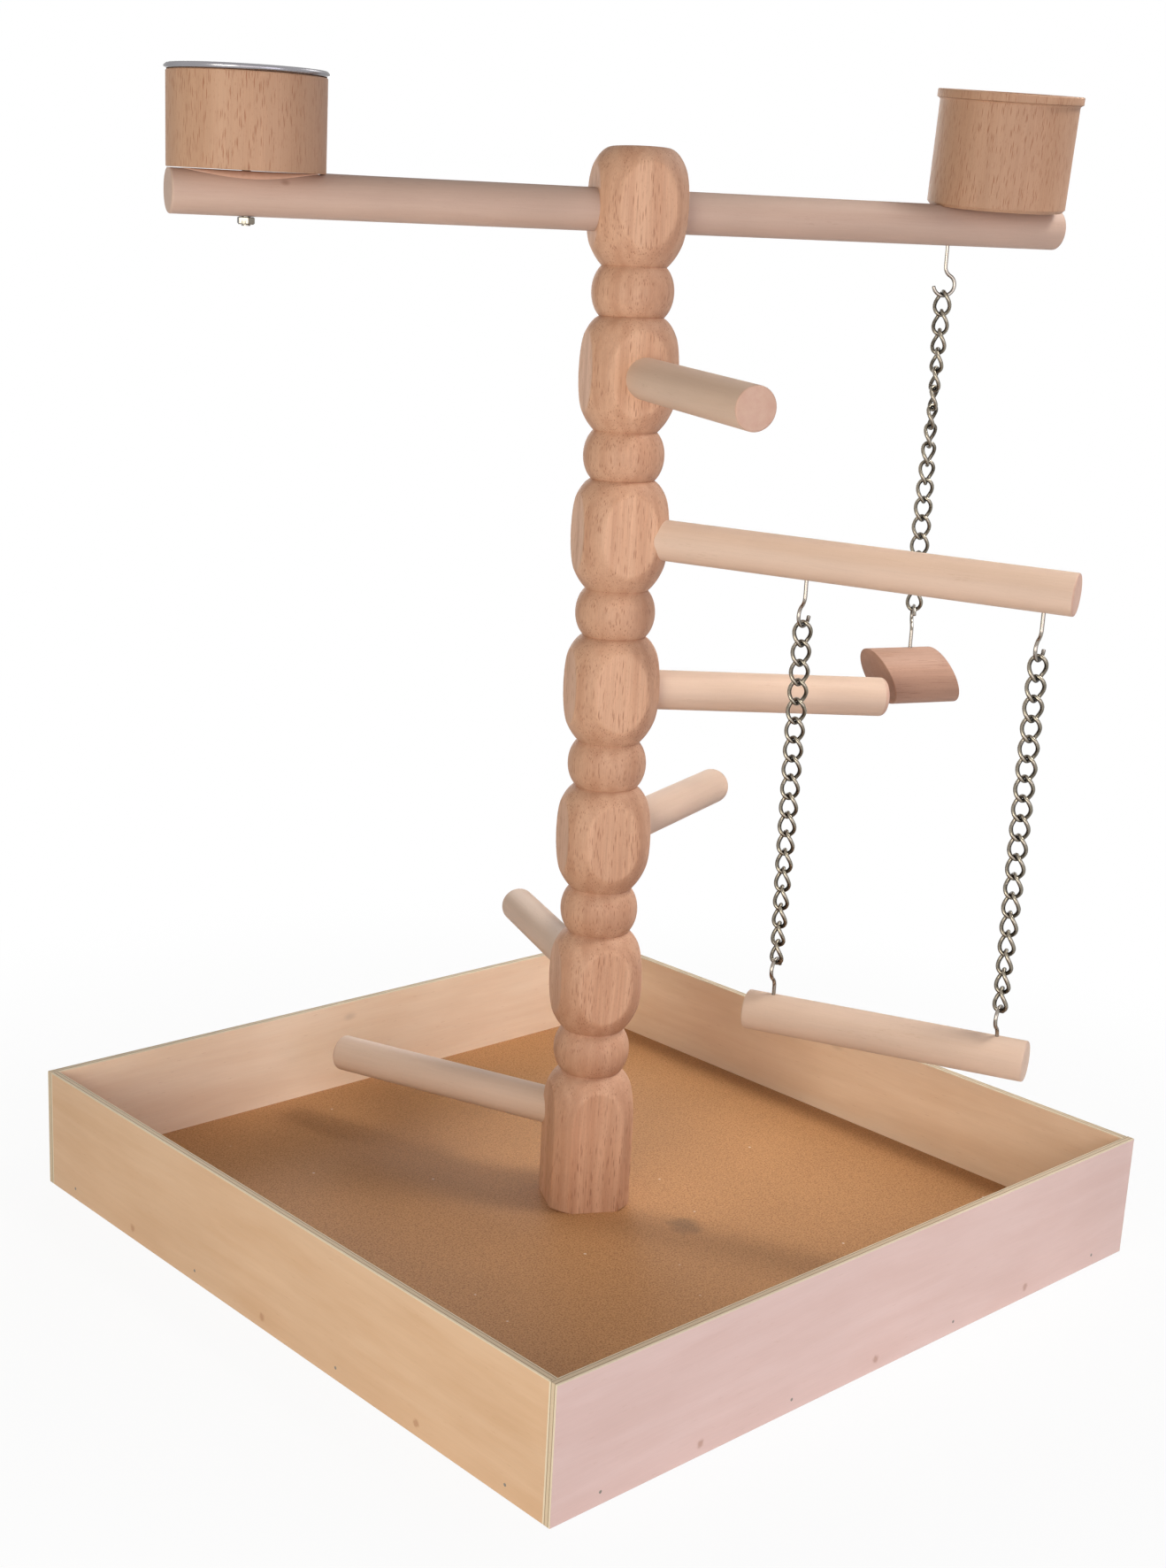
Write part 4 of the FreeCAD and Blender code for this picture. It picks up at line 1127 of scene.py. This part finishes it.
# ---- Hooks and chain ----
@dataclass
class ScrewHook:
    """Open screw hook of round wire: stem, S bend and crook, in its own XZ plane."""

    drop: float
    wire: float = 0.95
    crook: float = 5.4
    bend: float = 9.0
    reach: float = 33.5
    tip_turn: float = 12.0

    def path(self) -> Array:
        """The wire's middle line: down the stem, two equal arcs sideways, round under and up to the tip."""
        crook_z = -(self.drop - self.crook)
        bend_top = crook_z + self.bend
        turn = 2.0 * math.atan2(self.crook, self.bend)
        size = self.bend / (2.0 * math.sin(turn))
        normal = np.array([0.0, 1.0, 0.0])
        stem = np.array([[0.0, 0.0, self.reach - self.drop], [0.0, 0.0, 1.5], [0.0, 0.0, bend_top]])
        first = arc(np.array([size, 0.0, bend_top]), stem[-1], -normal, math.degrees(turn), 8)
        second_centre = np.array([self.crook - size, 0.0, crook_z])
        second = arc(second_centre, first[-1], normal, math.degrees(turn), 8)
        centre = np.array([0.0, 0.0, crook_z])
        round_under = arc(centre, second[-1], normal, 180.0 - self.tip_turn, 28)
        return np.concatenate([stem, first[1:], second[1:], round_under[1:]])

    def rings(self) -> tuple[Array, Array]:
        """Rings of the wire with a blunt tip, and the mark that is one on the outside of the crook."""
        path = self.path()
        end = unit(path[-1] - path[-2])
        blunt = ((0.22, 0.8), (0.32, 0.4))  # millimetres past the tip, and share of the wire's radius there
        size = np.concatenate([np.full(len(path), self.wire), [share * self.wire for _, share in blunt]])
        path = np.concatenate([path, [path[-1] + end * past for past, _ in blunt]])
        rings = tube(path, size, np.array([0.0, 1.0, 0.0]), 14)
        centre = np.array([0.0, 0.0, -(self.drop - self.crook)])
        away = np.linalg.norm(rings - centre, axis=-1)
        low = np.clip((centre[2] + self.crook - rings[..., 2]) / self.crook, 0.0, 1.0)
        outside = np.clip((away - self.crook + self.wire) / (2.0 * self.wire), 0.0, 1.0)
        # The mark is low on the inside of the crook, where the wire finish paints tarnish and shade.
        return rings, 1.0 - low * (1.0 - outside) * 0.8

    def build(self, node: str, body: str, finishes: Finishes, at: Array, up: Array, azimuth: float) -> None:
        """Bends the hook of one CAD node.

        Args:
            node: the node that it replaces.
            body: the body that it moves with.
            finishes: the stand's finishes.
            at: where its stem enters the wood.
            up: direction of its stem's end.
            azimuth: the side that its crook is on.
        """
        rings, mark = self.rings()
        Skin(node + "_wire").wrap(rings, mark=mark, frame=Frame.at(at, up, heading(azimuth))).build(
            finishes.hook, body, node, slot="hook_steel")


@dataclass(frozen=True)
class TwistedChain:
    """Twisted-link chain hanging straight down, each link turned on from the one above."""

    links: int
    turn: float
    wire: float = 1.0
    half_length: float = 5.8
    half_width: float = 4.1
    twist: float = 90.0
    play: float = 0.12
    hook_gap: float = 2.07

    @property
    def pitch(self) -> float:
        """Step from one link to the next."""
        return 2.0 * self.half_length - 2.0 * self.wire - self.play

    def lower(self, crook: Array) -> Array:
        """Place of the wire in the last link, for a chain on a crook."""
        drop = 2.0 * self.half_length + (self.links - 1) * self.pitch
        return crook - UP * (drop - 2.0 * self.hook_gap)

    def last_azimuth(self, azimuth: float) -> float:
        """Direction of the last link's lower end, for a first link that faces azimuth."""
        return azimuth + self.twist + self.turn * (self.links - 1)

    def link(self, azimuth: float, top: Array) -> tuple[Array, Array]:
        """One link: an oval whose width turns evenly from its top end to its bottom end.

        Args:
            azimuth: direction of the width at the top end.
            top: the link's highest point.

        Returns:
            Rings of the wire, and the mark that is one on the link's outside.
        """
        spans, sides, flatten = 44, 10, np.array([1.0, 1.0, 0.55])
        t = whole_turn(spans)
        z = self.half_length * np.cos(t)
        turn = np.radians(self.twist * (self.half_length - z) / (2.0 * self.half_length) + azimuth)
        path = polar(self.half_width * np.sin(t), turn, z)
        along = unit(np.roll(path, -1, axis=0) - np.roll(path, 1, axis=0))
        out = path * flatten
        out = unit(out - along * np.sum(out * along, axis=-1, keepdims=True))
        rings = circles(path, out, np.cross(along, out), self.wire, sides)
        # The mark is nought on the link's inside, where the wire finish paints tarnish and shade.
        mark = 0.5 + 0.5 * np.cos(whole_turn(sides)) + 0.0 * t[:, None]
        return rings + top - UP * self.half_length, mark

    def build(self, node: str, body: str, finishes: Finishes, crooks: Sequence[Array], azimuth: float,
              numbers: Sequence[int]) -> None:
        """Makes the links of one CAD node.

        Args:
            node: the node that they replace.
            body: the body that they move with.
            finishes: the stand's finishes.
            crooks: place of the wire that each chain hangs from.
            azimuth: direction of the first link's width.
            numbers: the links wanted of each chain, counted from nought at the crook.
        """
        skin = Skin(node + "_wire")
        for crook in crooks:
            for k in numbers:
                top = crook + UP * (self.hook_gap - k * self.pitch)
                rings, mark = self.link(azimuth + self.turn * k, top)
                skin.wrap(rings, mark=mark, ends=Ends.LOOP)
        skin.build(finishes.link, body, node, slot="chain_steel")


@dataclass
class Swing:
    """Dowel on two chains under perch 3."""

    finishes: Finishes
    post: TurnedPost
    chain: TwistedChain = TwistedChain(18, -5.0)
    azimuth: float = -66.5
    rise: float = -2.0
    dowel: float = 10.0
    inner_reach: float = 97.8
    spacing: float = 113.0
    hook_drop: float = 22.0
    hook_azimuth: float = 193.5
    lower_drop: float = 19.0
    overhang: tuple[float, float] = (13.5, 15.0)
    ease: float = 1.0

    def build(self) -> None:
        """Makes hooks, chains and dowel where the frame has them."""
        start, along = self.post.axis(2, self.azimuth, self.rise)
        under = self.dowel / math.cos(math.radians(self.rise))
        reaches = (self.inner_reach, self.inner_reach + self.spacing)
        seats = [start + along * reach - UP * under for reach in reaches]
        crooks = [seat - UP * self.hook_drop for seat in seats]
        lower = [self.chain.lower(crook) for crook in crooks]
        perch_top = lower[0][2] - self.lower_drop
        facing = self.hook_azimuth - 90.0
        for side, seat, crook, end in zip(("inner", "outer"), seats, crooks, lower):
            ScrewHook(self.hook_drop).build("swing_hook_" + side, "stand", self.finishes, seat, UP,
                                            self.hook_azimuth)
            self.chain.build("swing_chain_" + side, "chain_" + side, self.finishes, [crook], facing,
                             range(1, self.chain.links))
            ScrewHook(end[2] - perch_top).build("swing_perch_hook_" + side, "swing", self.finishes,
                                                np.array([*end[:2], perch_top]), -UP,
                                                self.chain.last_azimuth(self.hook_azimuth))
        self.chain.build("swing_top_links", "swing_top", self.finishes, crooks, facing, range(1))
        level = heading(self.azimuth)
        axis = [np.array([*end[:2], perch_top - self.dowel]) for end in lower]
        begin, finish = axis[0] - level * self.overhang[0], axis[1] + level * self.overhang[1]
        length = float(np.linalg.norm(finish - begin))
        outline = rod_outline(self.dowel, 0.0, length, (self.ease, self.ease), 5)
        Skin("swing_dowel").wrap(lathe(outline), frame=Frame.at(begin, level, UP)).build(
            self.finishes.perch, "swing", "swing_perch", slot="perch_wood", seed=(301.0, 77.0, 900.0))


@dataclass
class ChewBlock:
    """Slanted block on a chain under the bar's right end."""

    finishes: Finishes
    bar: TopBar
    chain: TwistedChain = TwistedChain(17, -11.8)
    reach: float = 173.0
    hook_drop: float = 24.5
    hook_azimuth: float = -37.0
    radius: float = 15.0
    length: float = 40.0
    slant: float = 27.5
    azimuth: float = -19.0
    block_drop: float = 22.3
    hook_offset: float = -1.5
    ease: float = 0.7

    def build(self) -> None:
        """Makes hook, chain, block hook and block."""
        under = self.bar.radius / math.cos(math.radians(self.bar.rise))
        seat = self.bar.point(self.reach) - UP * under
        crook = seat - UP * self.hook_drop
        facing = self.hook_azimuth + 90.0
        ScrewHook(self.hook_drop).build("toy_hook", "stand", self.finishes, seat, UP, self.hook_azimuth)
        self.chain.build("toy_top_link", "toy_top", self.finishes, [crook], facing, range(1))
        self.chain.build("toy_chain", "toy", self.finishes, [crook], facing, range(1, self.chain.links))
        top = self.chain.lower(crook) - UP * self.block_drop
        ScrewHook(self.block_drop).build("toy_block_hook", "toy", self.finishes, top, -UP,
                                         self.chain.last_azimuth(facing) + 90.0)
        self.build_block(top)

    def build_block(self, top: Array) -> None:
        """Cuts the block: points slide along the dowel by their height times the slant's tangent.

        Args:
            top: where the hook enters the wood.
        """
        along = heading(self.azimuth)
        middle = top - UP * self.radius - along * self.hook_offset
        half = 0.5 * self.length
        rings = lathe(rod_outline(self.radius, -half, half, (self.ease, self.ease), 5), 96)
        rings[..., 2] -= rings[..., 0] * math.tan(math.radians(self.slant))
        Skin("chew_block").wrap(rings, frame=Frame.at(middle, along, UP)).build(
            self.finishes.block, "toy", "toy_block", slot="block_wood", seed=(410.0, 33.0, 120.0),
            crease=35.0)


# ---- The studio ----
@dataclass(frozen=True)
class Softbox:
    """Square soft lamp that faces its aim from an azimuth, a rise and a distance; the spread is its beam."""

    name: str
    azimuth: float
    rise: float
    distance: float
    size: float
    watts: float
    colour: Point
    spread: float = 180.0
    aim: Point = (0.0, 0.0, 220.0)

    def build(self) -> None:
        """Hangs the lamp."""
        back = heading(self.azimuth, self.rise)
        data = bpy.data.lights.new(self.name, "AREA")
        data.shape, data.size, data.energy, data.color = "SQUARE", self.size * MM, self.watts, self.colour
        data.spread = math.radians(self.spread)
        side = unit(np.cross(UP, back))
        at = np.array(self.aim) + back * self.distance
        add_object(self.name, data, (side, np.cross(back, side), back), at)


@dataclass
class Studio:
    """White table, lamps and the camera at the photograph's place."""

    camera_at: Point = (-703.24, -721.15, 480.48)
    yaw: float = 47.957
    pitch: float = 15.126
    roll: float = -2.5334
    focal: float = 2281.37
    centre: tuple[float, float] = (590.44, 952.05)
    frame_size: tuple[int, int] = (1318, 1772)
    sensor: float = 36.0
    sky: float = 0.16
    # Painted light: the table's faint glow to rays other than the camera's, standing in for bounced light.
    table_glow: float = 0.2
    table_reach: float = 12.0
    table_drop: float = 0.0004
    lamps: tuple[Softbox, ...] = (
        Softbox("left_low_softbox", 200.0, 10.0, 1300.0, 600.0, 8.0, (1.0, 0.98, 0.87)),
        Softbox("camera_fill", 232.0, 6.0, 1500.0, 700.0, 3.0, (1.0, 0.9, 0.9)),
        Softbox("front_low_softbox", 262.0, 8.0, 1300.0, 600.0, 3.4, (0.90, 0.87, 1.0)),
        Softbox("tray_key", 304.0, 58.0, 1200.0, 400.0, 0.48, (1.0, 0.98, 0.93), 30.0, (70.0, 60.0, 0.0)),
        Softbox("far_right_softbox", 350.0, 48.0, 1200.0, 450.0, 2.2, (1.0, 1.0, 0.97)),
        Softbox("back_softbox", 62.0, 14.0, 1400.0, 700.0, 5.0, (1.0, 0.99, 0.97)),
    )

    def camera(self) -> None:
        """Stands the camera: right, up and backward axes from yaw, pitch and roll."""
        yaw, roll = math.radians(self.yaw), math.radians(self.roll)
        ahead = heading(self.yaw, -self.pitch)
        right = np.array([math.sin(yaw), -math.cos(yaw), 0.0])
        down = np.cross(ahead, right)
        across = math.cos(roll) * right + math.sin(roll) * down
        below = -math.sin(roll) * right + math.cos(roll) * down
        width, height = self.frame_size
        longest = max(width, height)
        data = bpy.data.cameras.new("portrait_camera")
        data.sensor_fit = "AUTO"
        data.sensor_width = self.sensor
        data.lens = self.focal * self.sensor / longest
        data.shift_x = (0.5 * width - self.centre[0]) / longest
        data.shift_y = (self.centre[1] - 0.5 * height) / longest
        data.clip_start, data.clip_end = 0.01, 50.0
        axes = (across, -below, -ahead)
        bpy.context.scene.camera = add_object("portrait_camera", data, axes, self.camera_at)

    def table(self) -> None:
        """White table top that shows pure white to the camera and keeps the stand's shadow; to other rays it
        glows faintly, a glow that stands in for light bounced up off it.
        """
        graph = Graph(bpy.data.materials.new("table_white"))
        x, y = graph.parts(graph.own())[:2]
        far = (x * x + y * y).root().step(260.0, 620.0)
        shade = graph.node("BsdfDiffuse", {}, {"Color": (0.9, 0.9, 0.9, 1.0)})
        glow = graph.node("Emission", {}, {"Color": WHITE, "Strength": 1.0})
        lit = (graph.seen() * (0.92 + far * 0.08)).most(self.table_glow)
        white = graph.close(graph.node("MixShader", {}, {0: lit, 1: shade, 2: glow}))
        reach = self.table_reach
        square = [(reach * i, reach * j, -self.table_drop) for i, j in ((-1, -1), (1, -1), (1, 1), (-1, 1))]
        mesh = bpy.data.meshes.new("table")
        mesh.from_pydata(square, [], [(0, 1, 2, 3)])
        mesh.materials.append(white)
        add_object("table", mesh)

    def world(self) -> None:
        """Even white surroundings, pure white to the camera and in reflections."""
        graph = Graph(bpy.data.worlds.new("studio"))
        light = graph.node("Background", {}, {"Color": (0.96, 0.97, 1.0, 1.0), "Strength": self.sky})
        white = graph.node("Background", {}, {"Color": WHITE})
        mixed = graph.node("MixShader", {}, {0: graph.seen(), 1: light, 2: white})
        bpy.context.scene.world = graph.close(mixed)

    def build(self) -> None:
        """Sets up camera, table, world and lamps."""
        self.camera()
        self.table()
        self.world()
        for lamp in self.lamps:
            lamp.build()
        bpy.context.scene.view_settings.view_transform = "Standard"


def corners(box: tuple[Any, Any]) -> list[list[float]]:
    """A pair of corners as plain lists."""
    return [list(map(float, corner)) for corner in box]


def main() -> None:
    """Loads the frame, dresses it and closes."""
    logging.basicConfig(level=logging.INFO, format="%(message)s")
    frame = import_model()
    finishes = Finishes()
    Tray(finishes).dress(frame["nodes"])
    post = TurnedPost(finishes)
    post.build()
    Perches(finishes, post).build()
    bar = TopBar(finishes, post)
    water, seed = WaterCup(finishes, bar), SeedCup(finishes, bar)
    bar.build([(water.frame(), water.radius, water.reach), (seed.frame(), seed.radius, seed.reach)])
    water.build()
    seed.build()
    Swing(finishes, post).build()
    ChewBlock(finishes, bar).build()
    Studio().build()


if __name__ == "__main__":
    main()
